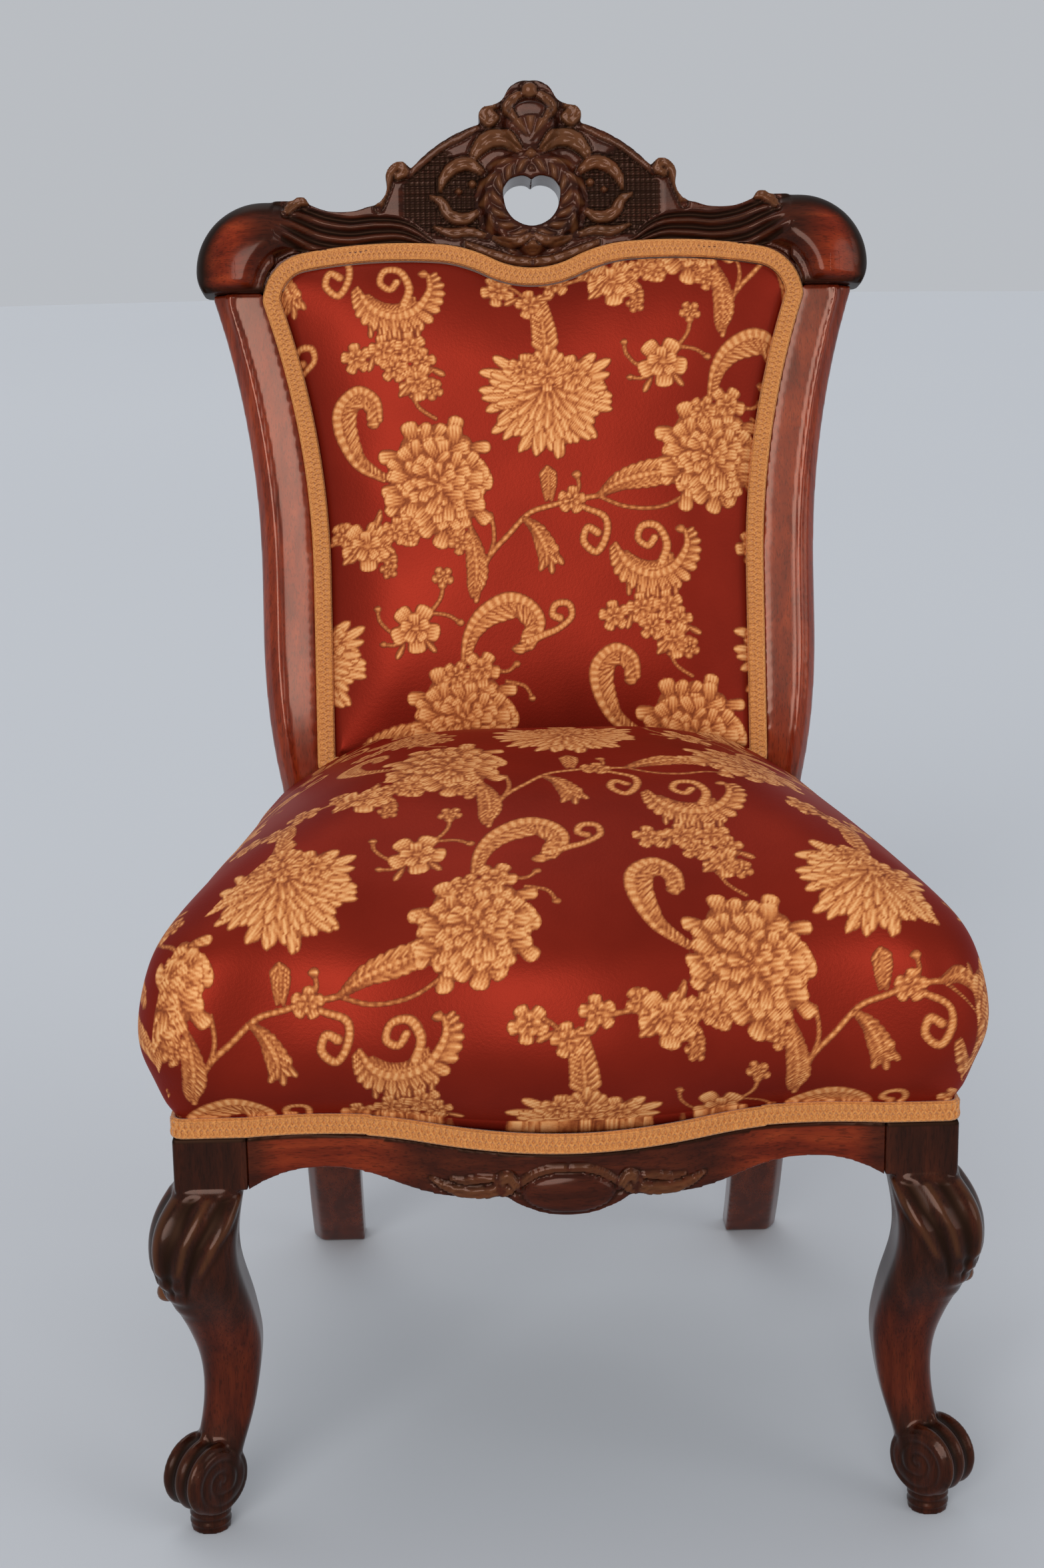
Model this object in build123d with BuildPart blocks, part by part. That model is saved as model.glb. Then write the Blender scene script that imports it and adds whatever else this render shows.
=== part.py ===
"""Parlor side chair: a dowelled hardwood frame, a sprung seat and a padded back.

Millimetres. X runs across the chair, +Y points to its back, +Z up, and the floor is Z = 0.
Left and right are as seen by someone who faces the chair.
"""

import os
from math import atan, atan2, cos, pi, radians, sin, sqrt, tan

from build123d import *

os.makedirs("parts", exist_ok=True)

# Seat frame in plan
FRONT_HALF = 265  # centre line to the outer side of a front leg block
REAR_HALF = 206  # centre line to the outer side of a back post at the seat
FRONT_Y = -253.4  # front face of the leg blocks
SEAT_DEPTH = 400  # front face of the leg blocks to the front face of the back posts
BLOCK = 50  # side of the square block on top of a front leg
RAIL_THICK = 25
APRON_BOW = 25  # how far the front rail swells forward at its middle
SWELL_HALF = 95  # half the width of that swell
SWELL_SAG = 16  # depth of its arc

# Seat frame heights
RAIL_BOTTOM = 270
RAIL_TOP = 330
BLOCK_BOTTOM = 256
SHOW_TOP = 294  # top of the polished wood, where the cover starts
SHOW_DIP = 7  # how far that line dips in the middle of the front
SHOW_DIP_HALF = 170  # half the width of the dip
REBATE = 5  # depth of the tacking rebate above the polished wood
CORNER_ROUND = 8  # rounding of the seat's front corners, in plan

# Scalloped lower edge of the apron
APRON_WAIST = 270  # height of the two hollows beside the legs
APRON_WAIST_X = 165
APRON_SIDE = 254  # height of the side lobes
APRON_SIDE_X = 74
APRON_STEP = 256  # height of the nicks beside the middle lobe
APRON_STEP_X = 42
APRON_LOBE = 243  # height of the middle lobe
LEDGE_DEPTH = 14  # thickness of the apron in front of the webbing ledge

# Front leg, each row: share of the height, shift outward on both axes, width
LEG_PROFILE = (
    (1.01, 1, 47),
    (0.95, 8, 54),
    (0.87, 13.5, 59),
    (0.79, 13, 59),
    (0.72, 8.5, 57),
    (0.645, 2, 52),
    (0.565, -3.5, 47),
    (0.5, -6, 43),
    (0.43, -6, 39),
    (0.345, -3.5, 36),
    (0.27, 1, 34),
    (0.19, 6, 33),
    (0.1, 10, 31),
)
LEG_ROUND = 0.3  # corner radius of a leg section, as a share of its width
SCROLL_RADIUS = 26  # the foot's outward scroll
SCROLL_WIDTH = 36
SCROLL_ROUND = 6
SCROLL_HEIGHT = 41
SCROLL_SHIFT = 14
PAD_RADIUS = 14
PAD_HEIGHT = 24
PAD_SHIFT = 12
BUD_RADIUS = 7  # carved bud below the knee, on the leg's outer side
BUD_HEIGHT = 172
BUD_REACH = 32

# Back posts
POST_INNER = 158  # centre line to the inner side of a post
POST_DEPTH = 34
FOOT_OUTER = 203
FOOT_RAKE = 90  # how far the rear foot stands behind the post's front face
FOOT_DEPTH = 30
LEG_BEND_Z = 258  # where the rear leg starts to sweep back
POST_STRAIGHT_Z = 380
POST_NECK = 211.5  # outer side where the post starts to widen
POST_NECK_Z = 439
POST_WAIST = 222  # outer side of the stile at its waist
POST_WAIST_Z = 545
POST_FLARE_Z = 600
POST_TOP = 258  # outer side at the joint under the crest rail
POST_TOP_INNER = 194  # inner side there
POST_CHAMFER_SIDE = 11
POST_CHAMFER_FACE = 8

# Lean of the back
BACK_LEAN = 13.6  # degrees from upright
BEND_Z = 468  # where the lean would start with no curve
BEND_RADIUS = 300
JOINT_Z = 819  # front edge of the joint under the crest rail

# Crest rail, in its own leaning plane: across from the middle, up from the joint
CREST_HEIGHT = 165.5
SHOULDER_RADIUS = 55
SHOULDER_RISE = 18
SHOULDER_REACH = 269
SHOULDER_TUCK = 6
SHOULDER_PROUD = 8
SHOULDER_ROUND = 17
SHOULDER_BACK_ROUND = 8
SHOULDER_INNER = 206
TIP_X = 184
TIP_RISE = 76
TIP_HALF = 6
DIP_X = 157
DIP_RISE = 63.5
EAR_OUTER = 116
EAR_INNER = 97
EAR_RISE = 102.5
EAR_FOOT = 15
EAR_NICK = 7
ARM_MID = (70, 118.5)
FINIAL_HALF = 39
FINIAL_RISE = 132
FINIAL_BULGE = (41, 140)
FINIAL_NECK = (33, 146)
FINIAL_HOLLOW = (26, 148)
FINIAL_CAP = (20, 153.5)
FINIAL_KNOB = (13, 163)
CREST_LOWER = 10  # hidden lower edge, behind the padded panel
CREST_LOWER_DIP = -6
CREST_LOWER_DIP_X = 42
CREST_LOWER_END = 160
HOLE_HALF = 22
HOLE_BOTTOM = 49
HOLE_MIDDLE = 70
HOLE_TOP = 88
HOLE_NOTCH = 85
CARTOUCHE_RADIUS = 42  # carved mass round the piercing
CARTOUCHE_PROUD = 8
PALMETTE_RADIUS = 23
PALMETTE_RISE = 129
RELIEF_TAPER = 30

# Padded panel of the back, in the same leaning plane
PANEL_CLEAR = 20.8  # from where the cushion leaves the posts' fronts up to its lower edge
PANEL_WAIST = 180
PANEL_SHOULDER = 216
PANEL_TOP = 31
PANEL_TOP_X = 188
PANEL_CROWN = 36.5
PANEL_CROWN_X = 78
PANEL_DIP = 16.5
PANEL_DIP_X = 36
PANEL_DIP_EDGE = 25
BACK_REBATE = 6
BACK_PAD_RISE = 22  # crown of the back pad in front of the stiles
BACK_PAD_SPREAD = 70  # how far its flat top lies inside the panel's edge
OUTER_REBATE = 3
LOWER_RAIL_HEIGHT = 45
LOWER_RAIL_TUCK = 11

# Soft goods
COVER_THICK = 2
BACK_COVER_THICK = 1.5
GIMP_WIDTH = 14
GIMP_PROUD = 0.5
OUTER_GIMP_WIDTH = 12
OUTER_GIMP_THICK = 2.5
HESSIAN_THICK = 1
HESSIAN_EDGE = 8  # from the rails' polished faces to the edge of the hessian
COVER_EDGE = 1
DUST_EDGE = 8
SEAT_BULGE = 23  # how far the cushion overhangs the rails
SEAT_CROWN = 508  # top of the seat
SEAT_CLEAR = 0.3
DUST_THICK = 0.8
WEB_WIDTH = 50
WEB_THICK = 1.2
WEB_RAMP = 6
WEB_SLACK = 2
STRAP_GRIP = 14  # how far a strap lies under a rail
WEB_LENGTHWISE = 4
WEB_CROSSWISE = 4
WEB_STEP_X = 75
WEB_STEP_Y = 85
BACK_WEB_COUNT = 3
BACK_WEB_STEP = 90

# Seat cushion, each row: share of the rise, share of the overhang, inset, how far behind the posts' fronts
CUSHION_PROFILE = (
    (0.0, 0.0, 3, 18),
    (0.11, 0.57, 0, 18),
    (0.25, 1.0, 0, 18),
    (0.425, 0.83, 0, 17),
    (0.58, 0.3, 0, 0),
    (0.7, 0.0, 24, -9),
    (0.83, 0.0, 70, -27),
    (0.925, 0.0, 115, -80),
    (0.975, 0.0, 155, -118),
    (1.0, 0.0, 195, -140),
)
CUSHION_STEPS = 2  # sections made from one row to the next
STUFFING_LIP = 4  # from the cushion's base up to the stuffing's lower edge
CUSHION_ROUND = 0.8  # corner rounding, as a share of the leg block

# Back pad, each row: share of the rise, share of the way in to its flat top
PAD_PROFILE = ((0.0, 0.0), (0.3, 0.05), (0.62, 0.2), (0.86, 0.5), (1.0, 1.0))

# Springs
SPRING_END_RADIUS = 38
SPRING_WAIST_RADIUS = 24
SPRING_WIRE = 3.6
SPRING_TURNS = 5
SPRING_TOP = 404
SPRING_CLEAR = 0.1

# Hessian tent over the springs, each row: share of the rise, inset from the rails, inset from the posts
TENT_PROFILE = ((0.0, 29, -0.5), (0.78, 45, 25), (1.0, 70, 50))

# Joinery
DOWEL_RADIUS = 4.5
DOWEL_LENGTH = 48
DOWEL_CLEAR = 0.1
DOWEL_PITCH = 27
CORNER_LEG = 55  # how far a corner block runs along the rails
CORNER_HEIGHT = 45
SCREW_RADIUS = 2.2
SCREW_LENGTH = 29
SCREW_HEAD_RADIUS = 4.4
SCREW_HEAD = 2.8
SCREW_CLEAR = 0.15
SCREW_GRIP = 14  # wood of a corner block under a screw's head
TACK_RADIUS = 0.9
TACK_HEAD_RADIUS = 3
TACK_HEAD = 0.8
TACK_LENGTH = 10

# Worked out from the sizes above
POST_FRONT_Y = FRONT_Y + SEAT_DEPTH
BLOCK_BACK_Y = FRONT_Y + BLOCK
BLOCK_INNER = FRONT_HALF - BLOCK
LEG_X = FRONT_HALF - BLOCK / 2
LEG_Y = FRONT_Y + BLOCK / 2
RAIL_INNER_Y = FRONT_Y + RAIL_THICK
RAIL_MIDDLE_Z = (RAIL_BOTTOM + RAIL_TOP) / 2
SIDE_SLOPE = (REAR_HALF - FRONT_HALF) / (POST_FRONT_Y - BLOCK_BACK_Y)
SIDE_THICK_X = RAIL_THICK * sqrt(1 + SIDE_SLOPE**2)
REAR_RAIL_Y = POST_FRONT_Y + (POST_DEPTH - RAIL_THICK) / 2
FAR = 600  # longer than any piece is deep, for cuts that go right through

LEAN = radians(BACK_LEAN)
JOINT_Y = POST_FRONT_Y + (JOINT_Z - BEND_Z) * tan(LEAN)
BACK = Plane(origin=(0, JOINT_Y, JOINT_Z), x_dir=(1, 0, 0), z_dir=(0, -cos(LEAN), sin(LEAN)))
REAR_FLOOR = -(POST_DEPTH - OUTER_REBATE)
CUSHION_BASE = SHOW_TOP + GIMP_WIDTH
TONGUE_SHARE = next(share for share, _, _, behind in CUSHION_PROFILE if behind <= 0)
TONGUE_TOP = CUSHION_BASE + TONGUE_SHARE * (SEAT_CROWN - CUSHION_BASE)
PANEL_DROP = (JOINT_Z - TONGUE_TOP - PANEL_CLEAR) / cos(LEAN)  # from the joint line to the panel's lower edge


def side_x(y):
    """Outer side of a side seat rail at a depth."""
    return FRONT_HALF + SIDE_SLOPE * (y - BLOCK_BACK_Y)


def save(piece, name):
    """Label a finished piece and write its file."""
    piece.part.label = name
    export_step(piece.part, f"parts/{name}.step")


def both_sides(right, name):
    """Write a right-hand piece and its mirror image."""
    save(right, f"{name}_right")
    with BuildPart() as left:
        mirror(right.part, about=Plane.YZ)
    save(left, f"{name}_left")


def chain_arc(start, end, angle):
    """Arc from start to end that leaves at an angle; gives the angle it arrives at."""
    TangentArc(start, end, tangent=(cos(angle), sin(angle)))
    return 2 * atan2(end[1] - start[1], end[0] - start[0]) - angle


def seat_sketch(height, out, rear_y, corner):
    """Plan outline of the seat, moved outward from the rails' polished faces."""
    across = (FRONT_HALF + out) / FRONT_HALF
    front = FRONT_Y - out
    middle = (0, front - APRON_BOW * across)
    swell = (SWELL_HALF * across, front - (APRON_BOW - SWELL_SAG) * across)
    block = (BLOCK_INNER * across, front)
    side = FRONT_HALF + out
    bend = (side, front + BLOCK)
    taper = (FRONT_HALF - REAR_HALF) / (POST_FRONT_Y - bend[1])
    rear = (side - taper * (rear_y - bend[1]), rear_y)
    cut = corner * (1 - sqrt(0.5))
    turn = 2 * atan(SWELL_SAG / SWELL_HALF)
    with BuildSketch(Plane.XY.offset(height)) as outline:
        with BuildLine():
            ThreePointArc((-swell[0], swell[1]), middle, swell)
            TangentArc(swell, block, tangent=(cos(turn), sin(turn)))
            Line(block, (side - corner, front))
            ThreePointArc((side - corner, front), (side - cut, front + cut), (side, front + corner))
            Line((side, front + corner), bend)
            Line(bend, rear)
            Line(rear, (-rear[0], rear_y))
            Line((-rear[0], rear_y), (-bend[0], bend[1]))
            Line((-bend[0], bend[1]), (-side, front + corner))
            ThreePointArc((-side, front + corner), (cut - side, front + cut), (corner - side, front))
            Line((corner - side, front), (-block[0], front))
            TangentArc(
                (-block[0], front),
                (-swell[0], swell[1]),
                tangent=(-cos(turn), sin(turn)),
                tangent_from_first=False,
            )
        make_face()
    return outline.sketch


def show_sketch(low, high):
    """Front view of the band between two lines that follow the top of the polished wood."""
    half = SHOW_DIP_HALF
    with BuildSketch(Plane.XZ) as band:
        with BuildLine():
            base = SHOW_TOP + low
            Line((-FAR, base), (-half, base))
            TangentArc((-half, base), (-half / 2, base - SHOW_DIP / 2), tangent=(1, 0))
            ThreePointArc(
                (-half / 2, base - SHOW_DIP / 2),
                (0, base - SHOW_DIP),
                (half / 2, base - SHOW_DIP / 2),
            )
            TangentArc((half, base), (half / 2, base - SHOW_DIP / 2), tangent=(-1, 0))
            Line((half, base), (FAR, base))
            top = SHOW_TOP + high
            Line((FAR, base), (FAR, top))
            Line((FAR, top), (half, top))
            TangentArc((half, top), (half / 2, top - SHOW_DIP / 2), tangent=(-1, 0))
            ThreePointArc(
                (-half / 2, top - SHOW_DIP / 2),
                (0, top - SHOW_DIP),
                (half / 2, top - SHOW_DIP / 2),
            )
            TangentArc((-half, top), (-half / 2, top - SHOW_DIP / 2), tangent=(1, 0))
            Line((-half, top), (-FAR, top))
            Line((-FAR, top), (-FAR, base))
        make_face()
    return band.sketch


def panel_sketch(inset, lift):
    """Outline of the padded back panel, moved inward, on the back's plane lifted to the front."""
    bottom = inset - PANEL_DROP
    waist = (PANEL_WAIST - inset, (POST_FLARE_Z - JOINT_Z) / cos(LEAN))
    shoulder = (PANEL_SHOULDER - inset, -inset)
    corner = (PANEL_TOP_X - 0.9 * inset, PANEL_TOP - inset)
    crown = (PANEL_CROWN_X - 0.25 * inset, PANEL_CROWN - inset)
    dip = (PANEL_DIP_X - 0.1 * inset, PANEL_DIP_EDGE - inset)
    with BuildSketch(BACK.offset(lift)) as panel:
        with BuildLine():
            ThreePointArc((-dip[0], dip[1]), (0, PANEL_DIP - inset), dip)
            angle = 2 * atan((PANEL_DIP_EDGE - PANEL_DIP) / dip[0])
            for start, end in ((dip, crown), (crown, corner), (corner, shoulder)):
                angle = chain_arc(start, end, angle)
            TangentArc(waist, shoulder, tangent=(0, 1))
            Line(waist, (waist[0], bottom))
            Line((waist[0], bottom), (0, bottom))
            Line((0, bottom), (-waist[0], bottom))
            Line((-waist[0], bottom), (-waist[0], waist[1]))
            TangentArc((-waist[0], waist[1]), (-shoulder[0], shoulder[1]), tangent=(0, 1))
            angle = pi - 2 * atan((PANEL_DIP_EDGE - PANEL_DIP) / dip[0])
            for start, end in ((dip, crown), (crown, corner), (corner, shoulder)):
                angle = chain_arc((-start[0], start[1]), (-end[0], end[1]), angle)
        make_face()
    return panel.sketch


def rods(places, along, radius, length, mode):
    """Round rods, or the holes for them, centred on places and pointing along a direction."""
    for place in places:
        with Locations(Plane(origin=place, z_dir=along).location):
            Cylinder(radius, length, mode=mode)


def dowel_holes(places, along):
    """Holes for dowels, a little wider and longer than the dowels."""
    rods(places, along, DOWEL_RADIUS + DOWEL_CLEAR, DOWEL_LENGTH + 1, Mode.SUBTRACT)


def save_dowels(places, along, name):
    """Write a group of dowels."""
    with BuildPart() as dowels:
        rods(places, along, DOWEL_RADIUS, DOWEL_LENGTH, Mode.ADD)
    save(dowels, name)


def on_back(across, rise, lift):
    """Point given in the leaning plane of the back."""
    return BACK.from_local_coords((across, rise, lift))


def mirrored(places):
    """Points and their mirror images."""
    return places + [(-x, y, z) for x, y, z in places]


def side_inner(y):
    """Inner side of a side seat rail at a depth."""
    return side_x(y) - SIDE_THICK_X


def screw_holes(screws):
    """Clearance holes for screws, with a wider way in for their heads."""
    for seat, along in screws:
        with Locations(Plane(origin=seat, z_dir=along).location):
            Cylinder(
                SCREW_RADIUS + SCREW_CLEAR,
                SCREW_LENGTH + 1,
                align=(Align.CENTER, Align.CENTER, Align.MIN),
                mode=Mode.SUBTRACT,
            )
            Cylinder(
                SCREW_HEAD_RADIUS + SCREW_CLEAR,
                CORNER_LEG,
                align=(Align.CENTER, Align.CENTER, Align.MAX),
                mode=Mode.SUBTRACT,
            )


def mirrored_screws(screws):
    """Screws and their mirror images."""
    return screws + [((-x, y, z), (-i, j, k)) for (x, y, z), (i, j, k) in screws]


def tack_holes(places):
    """Holes for webbing tacks, up from under the rails."""
    for place in places:
        with Locations((place[0], place[1], RAIL_BOTTOM)):
            Cylinder(TACK_RADIUS + DOWEL_CLEAR, 2 * TACK_LENGTH, mode=Mode.SUBTRACT)


def strap_edge(start, end, over):
    """Corner points of a strap seen on edge: flat, and lifted by its thickness where it passes over."""
    half = WEB_WIDTH / 2 + WEB_SLACK
    line = [(start, 0)]
    for place in over:
        line += [(place - half - WEB_RAMP, 0), (place - half, WEB_THICK)]
        line += [(place + half, WEB_THICK), (place + half + WEB_RAMP, 0)]
    line.append((end, 0))
    lower = [(along, RAIL_BOTTOM - WEB_THICK + lift) for along, lift in line]
    upper = [(along, height + WEB_THICK) for along, height in reversed(lower)]
    return lower + upper


def coil_place(x, y, turn):
    """Point and direction on a spring after a number of half turns."""
    share = turn / (2 * SPRING_TURNS)
    angle = turn * pi
    pinch = 1 - abs(2 * share - 1)
    radius = SPRING_END_RADIUS - (SPRING_END_RADIUS - SPRING_WAIST_RADIUS) * pinch
    narrowing = SPRING_END_RADIUS - SPRING_WAIST_RADIUS
    swing = narrowing / (SPRING_TURNS * pi) * (1 if share > 0.5 else -1 if share < 0.5 else 0)
    climb = (SPRING_TOP - SPRING_FOOT - SPRING_WIRE) / (2 * SPRING_TURNS * pi)
    place = Vector(
        x + radius * cos(angle),
        y + radius * sin(angle),
        SPRING_FOOT + SPRING_WIRE / 2 + climb * angle,
    )
    way = Vector(
        swing * cos(angle) - radius * sin(angle),
        swing * sin(angle) + radius * cos(angle),
        climb,
    )
    return place, way.normalized()


def coil_half_turn(x, y, turn):
    """Two arcs that carry a spring's wire through half a turn without a kink."""
    start, leave = coil_place(x, y, turn)
    end, arrive = coil_place(x, y, turn + 1)
    span = end - start
    bow = 2 * (1 - leave.dot(arrive))
    pull = span.dot(leave + arrive)
    reach = (sqrt(pull**2 + bow * span.dot(span)) - pull) / bow
    joint = (start + end + (leave - arrive) * reach) * 0.5
    TangentArc(start, joint, tangent=leave)
    TangentArc(joint, end, tangent=span - (leave + arrive) * reach)


def spring_space(thick):
    """Sections of the tent over the springs, grown by a thickness."""
    sections = []
    for share, inset, behind in TENT_PROFILE:
        height = RAIL_TOP + share * (SPRING_TOP + SEAT_CLEAR + thick - RAIL_TOP)
        sections.append(seat_sketch(height, thick - inset, POST_FRONT_Y - behind + thick, CORNER_ROUND))
    return sections


def cushion_row(place):
    """Row of the cushion table at a place between two of its rows, on a smooth curve."""
    first = min(int(place), len(CUSHION_PROFILE) - 2)
    part = place - first
    last = len(CUSHION_PROFILE) - 1
    near = [CUSHION_PROFILE[min(max(first + step, 0), last)] for step in (-1, 0, 1, 2)]
    weights = (
        (-part + 2 * part**2 - part**3) / 2,
        (2 - 5 * part**2 + 3 * part**3) / 2,
        (part + 4 * part**2 - 3 * part**3) / 2,
        (part**3 - part**2) / 2,
    )
    return [sum(weight * row[i] for weight, row in zip(weights, near)) for i in range(4)]


def cushion_sections(thick):
    """Sections of the seat cushion from its drawn-in base to its crown, shrunk by a thickness."""
    sections = []
    for step in range((len(CUSHION_PROFILE) - 1) * CUSHION_STEPS + 1):
        share, overhang, inset, behind = cushion_row(step / CUSHION_STEPS)
        height = CUSHION_BASE + share * (SEAT_CROWN - CUSHION_BASE)
        out = overhang * SEAT_BULGE - inset - thick
        corner = CORNER_ROUND if step == 0 else CUSHION_ROUND * BLOCK * (FRONT_HALF + out) / FRONT_HALF
        sections.append(seat_sketch(height - share * thick, out, POST_FRONT_Y + behind - thick, corner))
    return sections


def cut_round_posts():
    """Cut away what would lie behind the front faces of the back posts."""
    with BuildSketch() as post_space:
        with Locations((POST_INNER - 1 + FAR / 2, POST_FRONT_Y - SEAT_CLEAR + FAR / 2)):
            Rectangle(FAR, FAR)
        mirror(about=Plane.YZ)
    extrude(post_space.sketch, amount=FAR, mode=Mode.SUBTRACT)


def pad_sections(thick):
    """Sections of the back pad from its gimp to its crown, shrunk by a thickness."""
    rise = BACK_PAD_RISE - PAD_EDGE
    spread = BACK_PAD_SPREAD - GIMP_WIDTH
    return [
        panel_sketch(GIMP_WIDTH + inset * spread + thick, PAD_EDGE + share * (rise - thick))
        for share, inset in PAD_PROFILE
    ]


def is_shoulder_front(edge):
    """True on the rounded front edge of a crest shoulder."""
    place = BACK.to_local_coords(edge.center())
    outside = abs(place.X) > SHOULDER_INNER + 1 and place.Y > 1
    return outside and abs(place.Z - SHOULDER_PROUD) < 0.1


def is_shoulder_back(edge):
    """True on the back edge of a crest shoulder."""
    place = BACK.to_local_coords(edge.center())
    return abs(place.X) > SHOULDER_REACH - SHOULDER_RADIUS and place.Y > 1 and abs(place.Z + POST_DEPTH) < 0.1


def is_outer_front_edge(edge):
    """True on the outer front corner of a post, above the seat and below the rails."""
    middle = edge.center()
    upright = abs((edge @ 1 - edge @ 0).X) < abs((edge @ 1 - edge @ 0).Z)
    stile = middle.Z > BEND_Z - BEND_RADIUS * tan(LEAN / 2) and middle.X > POST_NECK - 2
    leg = middle.Z < LEG_BEND_Z and middle.X > (POST_INNER + FOOT_OUTER) / 2
    lift = BACK.to_local_coords(middle).Z
    front = lift > -POST_DEPTH / 3 if stile else middle.Y < POST_FRONT_Y + FOOT_RAKE / 2
    return upright and front and (stile or leg)


# Places of the dowels
DOWEL_HEIGHTS = (RAIL_MIDDLE_Z - DOWEL_PITCH / 2, RAIL_MIDDLE_Z + DOWEL_PITCH / 2)
FRONT_DOWEL_Y = RAIL_INNER_Y - RAIL_THICK * 0.4
SIDE_DOWEL_FRONT_X = FRONT_HALF - RAIL_THICK * 0.6
SIDE_DOWEL_REAR_X = REAR_HALF - RAIL_THICK * 0.52
REAR_DOWEL_Y = REAR_RAIL_Y + RAIL_THICK / 2
FRONT_DOWELS = [(BLOCK_INNER, FRONT_DOWEL_Y, z) for z in DOWEL_HEIGHTS]
SIDE_FRONT_DOWELS = [(SIDE_DOWEL_FRONT_X, BLOCK_BACK_Y, z) for z in DOWEL_HEIGHTS]
SIDE_REAR_DOWELS = [(SIDE_DOWEL_REAR_X, POST_FRONT_Y, z) for z in DOWEL_HEIGHTS]
REAR_DOWELS = [(POST_INNER, REAR_DOWEL_Y, z) for z in DOWEL_HEIGHTS]
STILE_MIDDLE = -(BACK_REBATE + POST_DEPTH - OUTER_REBATE) / 2
CREST_DOWEL_X = (POST_TOP - 44, POST_TOP - 18)
CREST_DOWELS = [tuple(on_back(x, 0, STILE_MIDDLE)) for x in CREST_DOWEL_X]
LOWER_RAIL_BASE = -PANEL_DROP - LOWER_RAIL_TUCK
LOWER_DOWEL_RISE = (LOWER_RAIL_BASE + LOWER_RAIL_HEIGHT * 0.27, LOWER_RAIL_BASE + LOWER_RAIL_HEIGHT * 0.73)
LOWER_DOWELS = [tuple(on_back(POST_INNER, rise, STILE_MIDDLE)) for rise in LOWER_DOWEL_RISE]
UP_BACK = BACK.y_dir

# Places of the corner block screws: where the head sits, and the way the screw points
CORNER_REST_Z = RAIL_BOTTOM + (RAIL_TOP - RAIL_BOTTOM - CORNER_HEIGHT) / 2
FRONT_SCREW_X = BLOCK_INNER - CORNER_LEG * 0.5
FRONT_SCREWS = [((FRONT_SCREW_X, RAIL_INNER_Y + SCREW_GRIP, RAIL_MIDDLE_Z), (0, -1, 0))]
REAR_SCREW_X = POST_INNER - CORNER_LEG * 0.5
REAR_SCREWS = [((REAR_SCREW_X, REAR_RAIL_Y - SCREW_GRIP, RAIL_MIDDLE_Z), (0, 1, 0))]
SIDE_SCREW_YS = (BLOCK_BACK_Y + CORNER_LEG * 0.45, POST_FRONT_Y - CORNER_LEG * 0.45)
SIDE_SCREWS = [((side_inner(y) - SCREW_GRIP, y, RAIL_MIDDLE_Z), (1, 0, 0)) for y in SIDE_SCREW_YS]

# Levels of the soft goods
TONGUE_Y = POST_FRONT_Y + CUSHION_PROFILE[0][3]
PAD_INSET = GIMP_WIDTH + BACK_COVER_THICK
PAD_EDGE = -BACK_REBATE / 3
PAD_FLOOR = WEB_THICK + HESSIAN_THICK - BACK_REBATE

# Places of the webbing straps and their tacks
WEB_MIDDLE_Y = (RAIL_INNER_Y + REAR_RAIL_Y) / 2
LENGTH_STRAPS = [(i - (WEB_LENGTHWISE - 1) / 2) * WEB_STEP_X for i in range(WEB_LENGTHWISE)]
CROSS_STRAPS = [WEB_MIDDLE_Y + (i - (WEB_CROSSWISE - 1) / 2) * WEB_STEP_Y for i in range(WEB_CROSSWISE)]
TACK_STEP = WEB_WIDTH / 4
FRONT_TACK_Y = FRONT_Y + (LEDGE_DEPTH + RAIL_THICK) / 2
FRONT_TACKS = [(x + d, FRONT_TACK_Y, 0) for x in LENGTH_STRAPS for d in (-TACK_STEP, TACK_STEP)]
REAR_TACKS = [(x, REAR_RAIL_Y + STRAP_GRIP / 2, 0) for x, _, _ in FRONT_TACKS]
SIDE_TACKS = [
    (side_inner(y) + STRAP_GRIP / 2, y + d, 0) for y in CROSS_STRAPS for d in (-TACK_STEP, TACK_STEP)
]

# Places of the springs, over the gaps between the straps
SPRING_FOOT = RAIL_BOTTOM + WEB_THICK + SPRING_CLEAR
SPRINGS = (
    ("front_left", -1.5 * WEB_STEP_X, WEB_MIDDLE_Y - WEB_STEP_Y),
    ("front_middle", 0, WEB_MIDDLE_Y - WEB_STEP_Y),
    ("front_right", 1.5 * WEB_STEP_X, WEB_MIDDLE_Y - WEB_STEP_Y),
    ("rear_left", -WEB_STEP_X, WEB_MIDDLE_Y + WEB_STEP_Y),
    ("rear_right", WEB_STEP_X, WEB_MIDDLE_Y + WEB_STEP_Y),
)

# Front legs
with BuildPart() as foot_scroll:
    outward = Plane(
        origin=(LEG_X + SCROLL_SHIFT, LEG_Y - SCROLL_SHIFT, SCROLL_HEIGHT),
        x_dir=(0, 0, 1),
        z_dir=(1, 1, 0),
    )
    with BuildSketch(outward):
        Circle(SCROLL_RADIUS)
    extrude(amount=SCROLL_WIDTH / 2, both=True)
    fillet(foot_scroll.edges().filter_by(GeomType.CIRCLE), SCROLL_ROUND)

with BuildPart() as tacking_rebate:
    extrude(seat_sketch(0, REBATE, POST_FRONT_Y, CORNER_ROUND), amount=RAIL_TOP + REBATE)
    extrude(
        seat_sketch(0, -REBATE, POST_FRONT_Y, CORNER_ROUND),
        amount=RAIL_TOP + REBATE,
        mode=Mode.SUBTRACT,
    )
    extrude(show_sketch(0, RAIL_TOP), amount=FAR, both=True, mode=Mode.INTERSECT)

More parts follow.
